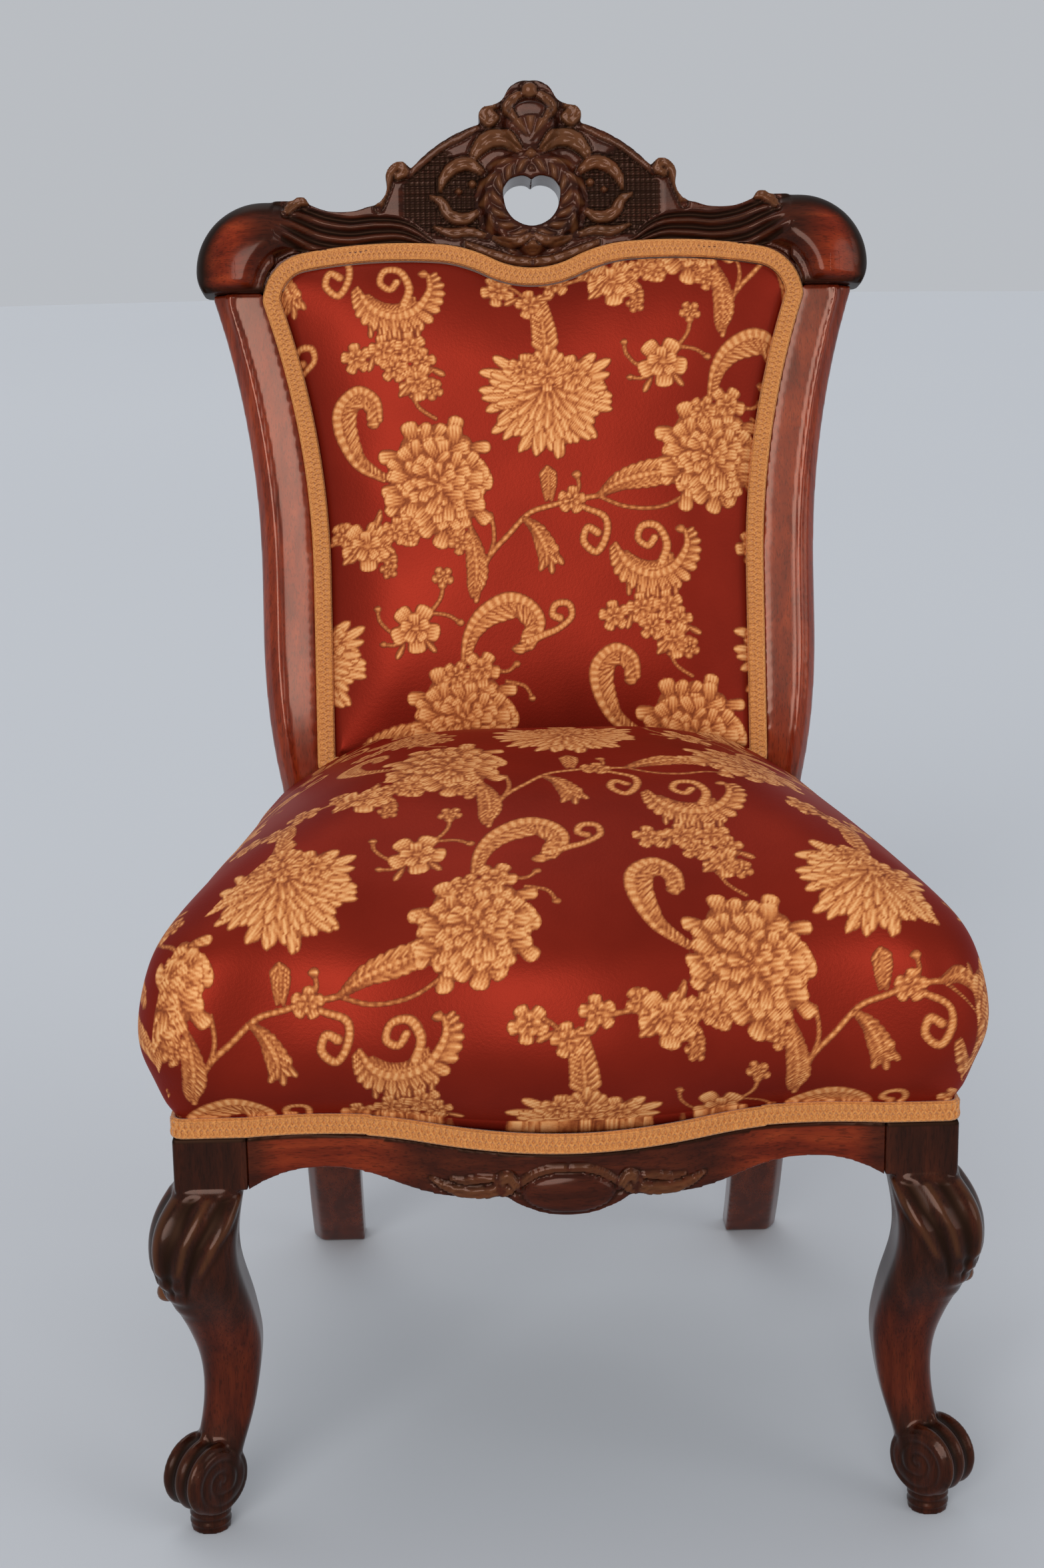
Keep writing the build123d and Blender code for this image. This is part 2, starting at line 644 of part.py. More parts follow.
with BuildPart() as front_leg:
    for share, shift, width in LEG_PROFILE:
        with BuildSketch(Plane((LEG_X + shift, LEG_Y - shift, share * BLOCK_BOTTOM))):
            RectangleRounded(width, width, width * LEG_ROUND)
    loft()
    with BuildSketch(Plane((LEG_X, LEG_Y, BLOCK_BOTTOM))):
        Rectangle(BLOCK, BLOCK)
    extrude(amount=RAIL_TOP - BLOCK_BOTTOM)
    with BuildSketch(Plane((LEG_X + PAD_SHIFT, LEG_Y - PAD_SHIFT, 0))):
        Circle(PAD_RADIUS)
    extrude(amount=PAD_HEIGHT)
    add(foot_scroll.part)
    with Locations((LEG_X + BUD_REACH, LEG_Y + BUD_RADIUS, BUD_HEIGHT)):
        Sphere(BUD_RADIUS)
    add(tacking_rebate.part, mode=Mode.SUBTRACT)
    dowel_holes(FRONT_DOWELS, (1, 0, 0))
    dowel_holes(SIDE_FRONT_DOWELS, (0, 1, 0))
both_sides(front_leg, "front_leg")

# Back posts: sawn to shape from the front and from the side
with BuildPart() as back_post:
    flare = (POST_WAIST, POST_FLARE_Z)
    with BuildSketch(Plane.XZ):
        with BuildLine():
            Line((POST_INNER, 0), (FOOT_OUTER, 0))
            Line((FOOT_OUTER, 0), (REAR_HALF, POST_STRAIGHT_Z))
            turn = chain_arc((REAR_HALF, POST_STRAIGHT_Z), (POST_NECK, POST_NECK_Z), pi / 2)
            chain_arc((POST_NECK, POST_NECK_Z), (POST_WAIST, POST_WAIST_Z), turn)
            Line((POST_WAIST, POST_WAIST_Z), flare)
            chain_arc(flare, (POST_TOP, JOINT_Z), pi / 2)
            Line((POST_TOP, JOINT_Z), (POST_TOP, JOINT_Z + REBATE))
            Line((POST_TOP, JOINT_Z + REBATE), (POST_TOP_INNER, JOINT_Z + REBATE))
            Line((POST_TOP_INNER, JOINT_Z + REBATE), (POST_TOP_INNER, JOINT_Z))
            chain_arc((POST_INNER, POST_FLARE_Z), (POST_TOP_INNER, JOINT_Z), pi / 2)
            Line((POST_INNER, POST_FLARE_Z), (POST_INNER, 0))
        make_face()
    extrude(amount=FAR, both=True)
    back_face = POST_FRONT_Y + POST_DEPTH
    bend_start = BEND_Z - BEND_RADIUS * tan(LEAN / 2)
    bend_back = BEND_RADIUS - POST_DEPTH
    front_end = (
        POST_FRONT_Y + BEND_RADIUS * (1 - cos(LEAN)),
        bend_start + BEND_RADIUS * sin(LEAN),
    )
    rear_end = (
        POST_FRONT_Y + BEND_RADIUS - bend_back * cos(LEAN),
        bend_start + bend_back * sin(LEAN),
    )
    foot_front = POST_FRONT_Y + FOOT_RAKE
    with BuildSketch(Plane.YZ):
        with BuildLine():
            TangentArc((POST_FRONT_Y, LEG_BEND_Z), (foot_front, 0), tangent=(0, -1))
            Line((foot_front, 0), (foot_front + FOOT_DEPTH, 0))
            TangentArc((back_face, LEG_BEND_Z), (foot_front + FOOT_DEPTH, 0), tangent=(0, -1))
            Line((back_face, LEG_BEND_Z), (back_face, bend_start))
            TangentArc((back_face, bend_start), rear_end, tangent=(0, 1))
            joint_back = (JOINT_Y + POST_DEPTH * cos(LEAN), JOINT_Z - POST_DEPTH * sin(LEAN))
            Line(rear_end, joint_back)
            Line(joint_back, (JOINT_Y, JOINT_Z))
            Line((JOINT_Y, JOINT_Z), front_end)
            TangentArc((POST_FRONT_Y, bend_start), front_end, tangent=(0, 1))
            Line((POST_FRONT_Y, bend_start), (POST_FRONT_Y, LEG_BEND_Z))
        make_face()
    extrude(amount=FAR, mode=Mode.INTERSECT)
    outer_edges = back_post.edges().filter_by(is_outer_front_edge)
    chamfer(outer_edges, POST_CHAMFER_FACE, POST_CHAMFER_SIDE)
    extrude(panel_sketch(0, -BACK_REBATE), amount=FAR / 4, mode=Mode.SUBTRACT)
    extrude(panel_sketch(0, REAR_FLOOR), amount=-FAR / 4, mode=Mode.SUBTRACT)
    dowel_holes(SIDE_REAR_DOWELS, (0, 1, 0))
    dowel_holes(REAR_DOWELS, (1, 0, 0))
    dowel_holes(LOWER_DOWELS, (1, 0, 0))
    dowel_holes(CREST_DOWELS, UP_BACK)
both_sides(back_post, "back_post")

# Rolled shoulder of the crest rail
shoulder_middle = SHOULDER_REACH - SHOULDER_RADIUS
shoulder_top = SHOULDER_RISE + SHOULDER_RADIUS
slant = sqrt(0.5) * SHOULDER_RADIUS
tuck = (SHOULDER_REACH - SHOULDER_TUCK, 0)
brow = (SHOULDER_REACH, SHOULDER_RISE)
with BuildPart() as crest_shoulder:
    with BuildSketch(BACK.offset(-POST_DEPTH)):
        with BuildLine():
            Line((SHOULDER_INNER, 0), tuck)
            TangentArc(brow, tuck, tangent=(0, -1))
            ThreePointArc(
                brow,
                (shoulder_middle + slant, SHOULDER_RISE + slant),
                (shoulder_middle, shoulder_top),
            )
            Line((shoulder_middle, shoulder_top), (SHOULDER_INNER, shoulder_top))
            Line((SHOULDER_INNER, shoulder_top), (SHOULDER_INNER, 0))
        make_face()
    extrude(amount=POST_DEPTH + SHOULDER_PROUD)
    fillet(crest_shoulder.edges().filter_by(is_shoulder_front), SHOULDER_ROUND)
    fillet(crest_shoulder.edges().filter_by(is_shoulder_back), SHOULDER_BACK_ROUND)

# Crest rail
with BuildPart() as crest_rail:
    tip_out = (TIP_X + TIP_HALF, shoulder_top)
    tip_in = (TIP_X - TIP_HALF, TIP_RISE - TIP_HALF)
    ear_foot = (EAR_OUTER + EAR_FOOT, DIP_RISE + EAR_FOOT / 4)
    ear_side = (EAR_OUTER, EAR_RISE - EAR_FOOT)
    ear_top = ((EAR_OUTER + EAR_INNER) / 2 - 1, EAR_RISE)
    ear_nick = (EAR_INNER, EAR_RISE - EAR_NICK)
    with BuildSketch(BACK):
        with BuildLine():
            Line((0, CREST_LOWER_DIP), (CREST_LOWER_DIP_X, CREST_LOWER_DIP))
            Line((CREST_LOWER_DIP_X, CREST_LOWER_DIP), (PANEL_CROWN_X, CREST_LOWER))
            Line((PANEL_CROWN_X, CREST_LOWER), (CREST_LOWER_END, CREST_LOWER))
            Line((CREST_LOWER_END, CREST_LOWER), (POST_TOP_INNER, 0))
            Line((POST_TOP_INNER, 0), (SHOULDER_INNER, 0))
            Line((SHOULDER_INNER, 0), (SHOULDER_INNER, shoulder_top))
            Line((SHOULDER_INNER, shoulder_top), tip_out)
            ThreePointArc(tip_out, (TIP_X, TIP_RISE), tip_in)
            ThreePointArc(tip_in, (DIP_X, DIP_RISE), ear_foot)
            ThreePointArc(ear_foot, (EAR_OUTER + EAR_FOOT / 3, DIP_RISE + EAR_FOOT / 2), ear_side)
            ThreePointArc(ear_side, (EAR_OUTER - 3, EAR_RISE - 4), ear_top)
            ThreePointArc(ear_top, (EAR_INNER + 2, EAR_RISE - 2), ear_nick)
            ThreePointArc(ear_nick, ARM_MID, (FINIAL_HALF, FINIAL_RISE))
            ThreePointArc((FINIAL_HALF, FINIAL_RISE), FINIAL_BULGE, FINIAL_NECK)
            ThreePointArc(FINIAL_NECK, FINIAL_HOLLOW, FINIAL_CAP)
            ThreePointArc(FINIAL_CAP, FINIAL_KNOB, (0, CREST_HEIGHT))
            mirror(about=Plane.YZ)
        make_face()
    extrude(amount=-POST_DEPTH)
    add(crest_shoulder.part)
    mirror(crest_shoulder.part, about=Plane.YZ)
    with BuildSketch(BACK):
        with Locations((0, HOLE_MIDDLE)):
            Circle(CARTOUCHE_RADIUS)
    extrude(amount=CARTOUCHE_PROUD, taper=RELIEF_TAPER)
    with BuildSketch(BACK):
        with Locations((0, PALMETTE_RISE)):
            Circle(PALMETTE_RADIUS)
    extrude(amount=CARTOUCHE_PROUD, taper=RELIEF_TAPER)
    with BuildSketch(BACK):
        with BuildLine():
            ThreePointArc((-HOLE_HALF, HOLE_MIDDLE), (0, HOLE_BOTTOM), (HOLE_HALF, HOLE_MIDDLE))
            ThreePointArc(
                (HOLE_HALF, HOLE_MIDDLE),
                (HOLE_HALF * 0.9, HOLE_TOP - 5),
                (HOLE_HALF / 2, HOLE_TOP),
            )
            ThreePointArc(
                (HOLE_HALF / 2, HOLE_TOP),
                (HOLE_HALF * 0.22, HOLE_TOP + 0.2),
                (0, HOLE_NOTCH),
            )
            mirror(about=Plane.YZ)
        make_face()
    extrude(amount=2 * POST_DEPTH, both=True, mode=Mode.SUBTRACT)
    extrude(panel_sketch(0, -BACK_REBATE), amount=POST_DEPTH, mode=Mode.SUBTRACT)
    extrude(panel_sketch(0, REAR_FLOOR), amount=-POST_DEPTH, mode=Mode.SUBTRACT)
    dowel_holes(mirrored(CREST_DOWELS), UP_BACK)
save(crest_rail, "crest_rail")

# Lower back rail
with BuildPart() as lower_back_rail:
    with BuildSketch(BACK.offset(-BACK_REBATE)):
        with Locations((0, LOWER_RAIL_BASE + LOWER_RAIL_HEIGHT / 2)):
            Rectangle(2 * POST_INNER, LOWER_RAIL_HEIGHT)
    extrude(amount=REAR_FLOOR + BACK_REBATE)
    dowel_holes(mirrored(LOWER_DOWELS), (1, 0, 0))
save(lower_back_rail, "lower_back_rail")

# Front seat rail
with BuildPart() as front_seat_rail:
    extrude(seat_sketch(0, 0, POST_FRONT_Y, CORNER_ROUND), amount=RAIL_TOP)
    with BuildSketch(Plane.XY):
        with Locations((0, RAIL_INNER_Y - FAR / 2)):
            Rectangle(2 * BLOCK_INNER, FAR)
    extrude(amount=RAIL_TOP, mode=Mode.INTERSECT)
    waist = (APRON_WAIST_X, APRON_WAIST)
    side_lobe = (APRON_SIDE_X, APRON_SIDE)
    between = ((APRON_WAIST_X + APRON_SIDE_X) / 2, (APRON_WAIST + APRON_SIDE) / 2)
    step = (APRON_STEP_X, APRON_STEP)
    with BuildSketch(Plane.XZ):
        with BuildLine():
            ThreePointArc((-APRON_STEP_X, APRON_STEP), (0, APRON_LOBE), step)
            TangentArc(side_lobe, step, tangent=(-1, 0))
            TangentArc(side_lobe, between, tangent=(1, 0))
            TangentArc(waist, between, tangent=(-1, 0))
            TangentArc(waist, (BLOCK_INNER, BLOCK_BOTTOM), tangent=(1, 0))
            Line((BLOCK_INNER, BLOCK_BOTTOM), (BLOCK_INNER, RAIL_TOP))
            Line((BLOCK_INNER, RAIL_TOP), (-BLOCK_INNER, RAIL_TOP))
            Line((-BLOCK_INNER, RAIL_TOP), (-BLOCK_INNER, BLOCK_BOTTOM))
            TangentArc((-waist[0], waist[1]), (-BLOCK_INNER, BLOCK_BOTTOM), tangent=(-1, 0))
            TangentArc((-waist[0], waist[1]), (-between[0], between[1]), tangent=(1, 0))
            TangentArc((-side_lobe[0], side_lobe[1]), (-between[0], between[1]), tangent=(-1, 0))
            TangentArc((-side_lobe[0], side_lobe[1]), (-step[0], step[1]), tangent=(1, 0))
        make_face()
    extrude(amount=FAR, both=True, mode=Mode.INTERSECT)
    with BuildSketch(Plane.XY.offset(RAIL_BOTTOM)):
        with Locations((0, FRONT_Y + LEDGE_DEPTH + RAIL_THICK)):
            Rectangle(2 * FRONT_HALF, 2 * RAIL_THICK)
    extrude(amount=-RAIL_BOTTOM, mode=Mode.SUBTRACT)
    add(tacking_rebate.part, mode=Mode.SUBTRACT)
    dowel_holes(mirrored(FRONT_DOWELS), (1, 0, 0))
    screw_holes(mirrored_screws(FRONT_SCREWS))
    tack_holes(FRONT_TACKS)
save(front_seat_rail, "front_seat_rail")

# Side seat rails
with BuildPart() as side_seat_rail:
    with BuildSketch(Plane.XY.offset(RAIL_BOTTOM)):
        with BuildLine():
            Polyline(
                (side_x(BLOCK_BACK_Y), BLOCK_BACK_Y),
                (side_x(POST_FRONT_Y), POST_FRONT_Y),
                (side_inner(POST_FRONT_Y), POST_FRONT_Y),
                (side_inner(BLOCK_BACK_Y), BLOCK_BACK_Y),
                close=True,
            )
        make_face()
    extrude(amount=RAIL_TOP - RAIL_BOTTOM)
    add(tacking_rebate.part, mode=Mode.SUBTRACT)
    dowel_holes(SIDE_FRONT_DOWELS, (0, 1, 0))
    dowel_holes(SIDE_REAR_DOWELS, (0, 1, 0))
    screw_holes(SIDE_SCREWS)
    tack_holes(SIDE_TACKS)
both_sides(side_seat_rail, "side_seat_rail")

# Rear seat rail
with BuildPart() as rear_seat_rail:
    with BuildSketch(Plane.XY.offset(RAIL_BOTTOM)):
        with Locations((0, REAR_RAIL_Y + RAIL_THICK / 2)):
            Rectangle(2 * POST_INNER, RAIL_THICK)
    extrude(amount=RAIL_TOP - RAIL_BOTTOM)
    dowel_holes(mirrored(REAR_DOWELS), (1, 0, 0))
    screw_holes(mirrored_screws(REAR_SCREWS))
    tack_holes(REAR_TACKS)
save(rear_seat_rail, "rear_seat_rail")

# Dowels
save_dowels(mirrored(FRONT_DOWELS), (1, 0, 0), "front_rail_dowels")
save_dowels(mirrored(SIDE_FRONT_DOWELS + SIDE_REAR_DOWELS), (0, 1, 0), "side_rail_dowels")
save_dowels(mirrored(REAR_DOWELS), (1, 0, 0), "rear_rail_dowels")
save_dowels(mirrored(LOWER_DOWELS), (1, 0, 0), "lower_back_rail_dowels")
save_dowels(mirrored(CREST_DOWELS), UP_BACK, "crest_dowels")

# Corner blocks and their screws
with BuildPart() as corner_block_front:
    with BuildSketch(Plane.XY.offset(CORNER_REST_Z)):
        with BuildLine():
            Polyline(
                (BLOCK_INNER - CORNER_LEG, RAIL_INNER_Y),
                (BLOCK_INNER, RAIL_INNER_Y),
                (BLOCK_INNER, BLOCK_BACK_Y),
                (side_inner(BLOCK_BACK_Y), BLOCK_BACK_Y),
                (side_inner(BLOCK_BACK_Y + CORNER_LEG), BLOCK_BACK_Y + CORNER_LEG),
                close=True,
            )
        make_face()
    extrude(amount=CORNER_HEIGHT)
    screw_holes(FRONT_SCREWS + SIDE_SCREWS[:1])
both_sides(corner_block_front, "corner_block_front")

with BuildPart() as corner_block_rear:
    with BuildSketch(Plane.XY.offset(CORNER_REST_Z)):
        with BuildLine():
            Polyline(
                (POST_INNER - CORNER_LEG, REAR_RAIL_Y),
                (POST_INNER, REAR_RAIL_Y),
                (POST_INNER, POST_FRONT_Y),
                (side_inner(POST_FRONT_Y), POST_FRONT_Y),
                (side_inner(POST_FRONT_Y - CORNER_LEG), POST_FRONT_Y - CORNER_LEG),
                close=True,
            )
        make_face()
    extrude(amount=CORNER_HEIGHT)
    screw_holes(REAR_SCREWS + SIDE_SCREWS[1:])
both_sides(corner_block_rear, "corner_block_rear")

with BuildPart() as corner_block_screws:
    for seat, along in mirrored_screws(FRONT_SCREWS + SIDE_SCREWS + REAR_SCREWS):
        with Locations(Plane(origin=seat, z_dir=along).location):
            Cylinder(SCREW_RADIUS, SCREW_LENGTH, align=(Align.CENTER, Align.CENTER, Align.MIN))
            Cylinder(SCREW_HEAD_RADIUS, SCREW_HEAD, align=(Align.CENTER, Align.CENTER, Align.MAX))
save(corner_block_screws, "corner_block_screws")

# Seat webbing, each strap flat under the rails and lifted where it passes over another
LENGTH_START = RAIL_INNER_Y - RAIL_THICK + LEDGE_DEPTH + TACK_HEAD
for index, x in enumerate(LENGTH_STRAPS):
    with BuildPart() as strap:
        over = [y for place, y in enumerate(CROSS_STRAPS) if (index + place) % 2]
        with BuildSketch(Plane.YZ.offset(x - WEB_WIDTH / 2)):
            with BuildLine():
                Polyline(strap_edge(LENGTH_START, REAR_RAIL_Y + STRAP_GRIP, over), close=True)
            make_face()
        extrude(amount=WEB_WIDTH)
        tack_holes(FRONT_TACKS + REAR_TACKS)
    save(strap, f"seat_strap_lengthwise_{index + 1}")

for index, y in enumerate(CROSS_STRAPS):
    with BuildPart() as strap:
        reach = side_inner(y) + STRAP_GRIP
        over = [x for place, x in enumerate(LENGTH_STRAPS) if not (index + place) % 2]
        with BuildSketch(Plane.XZ.offset(-y - WEB_WIDTH / 2)):
            with BuildLine():
                Polyline(strap_edge(-reach, reach, over), close=True)
            make_face()
        extrude(amount=WEB_WIDTH)
        tack_holes(mirrored(SIDE_TACKS))
    save(strap, f"seat_strap_crosswise_{index + 1}")

with BuildPart() as webbing_tacks:
    for place in FRONT_TACKS + REAR_TACKS + mirrored(SIDE_TACKS):
        with Locations((place[0], place[1], RAIL_BOTTOM - WEB_THICK)):
            Cylinder(TACK_HEAD_RADIUS, TACK_HEAD, align=(Align.CENTER, Align.CENTER, Align.MAX))
            Cylinder(TACK_RADIUS, TACK_LENGTH, align=(Align.CENTER, Align.CENTER, Align.MIN))
save(webbing_tacks, "webbing_tacks")

# Springs: hourglass coils, each swept along pairs of arcs that follow the coil's own direction
for name, x, y in SPRINGS:
    with BuildPart() as spring:
        with BuildLine() as wire:
            for turn in range(2 * SPRING_TURNS):
                coil_half_turn(x, y, turn)
        with BuildSketch(Plane(origin=wire.line @ 0, z_dir=wire.line % 0)):
            Circle(SPRING_WIRE / 2)
        sweep(path=wire.line)
    save(spring, f"seat_spring_{name}")

# Hessian over the springs
with BuildPart() as spring_hessian:
    extrude(
        seat_sketch(RAIL_TOP, -HESSIAN_EDGE, TONGUE_Y - COVER_THICK, CORNER_ROUND),
        amount=HESSIAN_THICK,
    )
    loft(spring_space(HESSIAN_THICK), ruled=True)
    loft(spring_space(0), ruled=True, mode=Mode.SUBTRACT)
    cut_round_posts()
save(spring_hessian, "spring_hessian")

# Seat stuffing
with BuildPart() as seat_stuffing:
    loft(cushion_sections(COVER_THICK), ruled=True)
    with BuildSketch():
        Rectangle(2 * FAR, 2 * FAR)
    extrude(amount=CUSHION_BASE + STUFFING_LIP, mode=Mode.SUBTRACT)
    extrude(
        seat_sketch(0, -REBATE, POST_FRONT_Y + POST_DEPTH, CORNER_ROUND),
        amount=RAIL_TOP + HESSIAN_THICK,
        mode=Mode.SUBTRACT,
    )
    loft(spring_space(HESSIAN_THICK), ruled=True, mode=Mode.SUBTRACT)
    cut_round_posts()
save(seat_stuffing, "seat_stuffing")

# Seat cover: a skin over the stuffing that runs down to the polished wood
with BuildPart() as seat_cover:
    loft(cushion_sections(0), ruled=True)
    extrude(seat_sketch(0, COVER_THICK - REBATE, TONGUE_Y, CORNER_ROUND), amount=CUSHION_BASE)
    loft(cushion_sections(COVER_THICK), ruled=True, mode=Mode.SUBTRACT)
    extrude(
        seat_sketch(0, -REBATE, POST_FRONT_Y + POST_DEPTH, CORNER_ROUND),
        amount=RAIL_TOP,
        mode=Mode.SUBTRACT,
    )
    extrude(show_sketch(-SHOW_TOP, 0), amount=FAR, both=True, mode=Mode.SUBTRACT)
    cut_round_posts()
save(seat_cover, "seat_cover")

# Gimp braid round the seat
with BuildPart() as seat_gimp:
    extrude(seat_sketch(0, GIMP_PROUD, POST_FRONT_Y - SEAT_CLEAR, CORNER_ROUND), amount=RAIL_TOP)
    extrude(
        seat_sketch(0, COVER_THICK - REBATE, POST_FRONT_Y, CORNER_ROUND),
        amount=RAIL_TOP,
        mode=Mode.SUBTRACT,
    )
    extrude(show_sketch(0, GIMP_WIDTH), amount=FAR, both=True, mode=Mode.INTERSECT)
save(seat_gimp, "seat_gimp")

# Dust cover under the seat
with BuildPart() as dust_cover:
    with BuildSketch(Plane.XY.offset(RAIL_BOTTOM - WEB_THICK - TACK_HEAD)):
        with BuildLine():
            Polyline(
                (0, FRONT_Y + LEDGE_DEPTH + 1),
                (BLOCK_INNER - 1, FRONT_Y + LEDGE_DEPTH + 1),
                (BLOCK_INNER - 1, BLOCK_BACK_Y + 1),
                (side_x(BLOCK_BACK_Y) - DUST_EDGE, BLOCK_BACK_Y + 1),
                (side_x(POST_FRONT_Y) - DUST_EDGE, POST_FRONT_Y - 1),
                (POST_INNER - 1, POST_FRONT_Y - 1),
                (POST_INNER - 1, REAR_RAIL_Y + RAIL_THICK - DUST_EDGE),
                (0, REAR_RAIL_Y + RAIL_THICK - DUST_EDGE),
                close=True,
            )
        make_face()
        mirror(about=Plane.YZ)
    extrude(amount=-DUST_THICK)
save(dust_cover, "dust_cover")

# Padded back: straps, hessian, stuffing, cover and gimp braid
for index in range(BACK_WEB_COUNT):
    with BuildPart() as strap:
        rise = (POST_FLARE_Z - JOINT_Z) / cos(LEAN) + (index - 0.5) * BACK_WEB_STEP
        with BuildSketch(BACK.offset(-BACK_REBATE)):
            with Locations((0, rise)):
                Rectangle(FAR, WEB_WIDTH)
        extrude(amount=WEB_THICK)
        extrude(panel_sketch(PAD_INSET, -BACK_REBATE), amount=WEB_THICK, mode=Mode.INTERSECT)
    save(strap, f"back_strap_{index + 1}")

with BuildPart() as back_hessian:
    extrude(panel_sketch(PAD_INSET, WEB_THICK - BACK_REBATE), amount=HESSIAN_THICK)
save(back_hessian, "back_hessian")

with BuildPart() as back_stuffing:
    loft(pad_sections(BACK_COVER_THICK))
    extrude(panel_sketch(PAD_INSET, PAD_FLOOR), amount=PAD_EDGE - PAD_FLOOR)
save(back_stuffing, "back_stuffing")

with BuildPart() as back_cover:
    loft(pad_sections(0))
    extrude(panel_sketch(GIMP_WIDTH, -BACK_REBATE), amount=PAD_EDGE + BACK_REBATE)
    extrude(panel_sketch(COVER_EDGE, -BACK_REBATE), amount=BACK_COVER_THICK)
    extrude(panel_sketch(PAD_INSET, -BACK_REBATE), amount=PAD_EDGE + BACK_REBATE, mode=Mode.SUBTRACT)
    loft(pad_sections(BACK_COVER_THICK), mode=Mode.SUBTRACT)
save(back_cover, "back_cover")

with BuildPart() as back_gimp:
    braid_floor = BACK_COVER_THICK - BACK_REBATE
    extrude(panel_sketch(0, braid_floor), amount=GIMP_PROUD - braid_floor)
    extrude(panel_sketch(GIMP_WIDTH, braid_floor), amount=FAR, mode=Mode.SUBTRACT)
save(back_gimp, "back_gimp")

# Outer back
with BuildPart() as outer_back_cover:
    extrude(panel_sketch(0, REAR_FLOOR), amount=-BACK_COVER_THICK)
save(outer_back_cover, "outer_back_cover")

with BuildPart() as outer_back_gimp:
    extrude(panel_sketch(0, REAR_FLOOR - BACK_COVER_THICK), amount=-OUTER_GIMP_THICK)
    extrude(
        panel_sketch(OUTER_GIMP_WIDTH, REAR_FLOOR - BACK_COVER_THICK),
        amount=-FAR,
        mode=Mode.SUBTRACT,
    )
save(outer_back_gimp, "outer_back_gimp")
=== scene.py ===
# %% [markdown]
# # A parlor chair
# The chair has a dark polished mahogany frame, a deep sprung seat and a padded back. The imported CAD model
# is the frame: this lesson dresses it, piece by piece, in metres and in the same axes.
# +Z is up, +Y points to the chair's back, and the floor is Z = 0.

# %% Load the frame
import math

import bpy
import numpy as np
from mathutils import Matrix, Vector


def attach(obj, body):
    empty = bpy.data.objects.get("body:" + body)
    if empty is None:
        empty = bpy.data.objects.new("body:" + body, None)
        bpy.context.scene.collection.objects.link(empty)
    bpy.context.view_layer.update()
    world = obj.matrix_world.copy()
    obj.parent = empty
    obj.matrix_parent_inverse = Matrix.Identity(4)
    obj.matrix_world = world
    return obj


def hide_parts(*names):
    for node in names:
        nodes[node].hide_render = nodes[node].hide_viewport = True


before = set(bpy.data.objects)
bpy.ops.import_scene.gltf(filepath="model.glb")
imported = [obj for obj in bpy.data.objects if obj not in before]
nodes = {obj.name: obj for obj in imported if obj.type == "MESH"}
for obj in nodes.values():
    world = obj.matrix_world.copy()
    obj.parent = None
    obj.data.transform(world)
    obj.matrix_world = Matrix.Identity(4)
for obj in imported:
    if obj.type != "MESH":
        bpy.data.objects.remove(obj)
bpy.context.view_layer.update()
scene = bpy.context.scene
scene.view_settings.view_transform = "Standard"

# %% [markdown]
# ## Camera
# The photograph was taken from about the height of the crest, slightly left of the middle, looking
# down. A perspective camera with the same place, turn and field of view gives the same foreshortening.

# %% Camera
CAMERA_PLACE = (-0.0677, -1.9271, 0.9634)
yaw, pitch, roll = 0.02443, 0.25067, -0.01481
ahead = Vector((math.sin(yaw) * math.cos(pitch), math.cos(yaw) * math.cos(pitch), -math.sin(pitch)))
level = Vector((math.cos(yaw), -math.sin(yaw), 0))
upright = level.cross(ahead)
right = math.cos(roll) * level + math.sin(roll) * upright
above = math.cos(roll) * upright - math.sin(roll) * level
camera = bpy.data.objects.new("camera", bpy.data.cameras.new("camera"))
camera.data.lens = 61.15
camera.data.sensor_width = 36
camera.data.clip_end = 50
turned = Matrix((right, above, -ahead)).transposed().to_4x4()
camera.matrix_world = Matrix.Translation(CAMERA_PLACE) @ turned
scene.collection.objects.link(camera)
scene.camera = camera
print("camera lens", camera.data.lens, "mm")

# %% [markdown]
# ## Studio
# The chair stands on a wide floor of pale paper under a pale world, so that it can be seen from every side.
# A broad distant lamp from the front gives satin and polish the wide highlight that the photograph shows, a
# weaker one fills the right side, and a third shines down from above. Distant lamps light floor and chair
# evenly, and their wide angle keeps the shadows soft.

# %% Helpers for materials


def plug(tree, socket, value):
    """Link an input to another socket, or set it to a plain value."""
    if isinstance(value, bpy.types.NodeSocket):
        tree.links.new(value, socket)
    else:
        socket.default_value = value


def feed(tree, node, **values):
    """Feed a node's inputs, named with _ for a space, and set its other properties."""
    for key, value in values.items():
        label = key.replace("_", " ")
        if label in node.inputs:
            plug(tree, node.inputs[label], value)
        else:
            setattr(node, key, value)


def add_node(tree, kind, **values):
    """Add a node and feed it."""
    made = tree.nodes.new(kind)
    feed(tree, made, **values)
    return made


def new_material(name):
    """A material with its tree and its Principled shader."""
    made = bpy.data.materials.new(name)
    made.use_nodes = True
    return made, made.node_tree, made.node_tree.nodes["Principled BSDF"]


def colour_ramp(tree, share, stops):
    """Colour of a ramp with the given places and colours."""
    ramp = add_node(tree, "ShaderNodeValToRGB", Fac=share)
    elements = ramp.color_ramp.elements
    while len(elements) < len(stops):
        elements.new(0.5)
    for element, (place, colour) in zip(elements, stops):
        element.position = place
        element.color = (*colour, 1)
    return ramp.outputs["Color"]


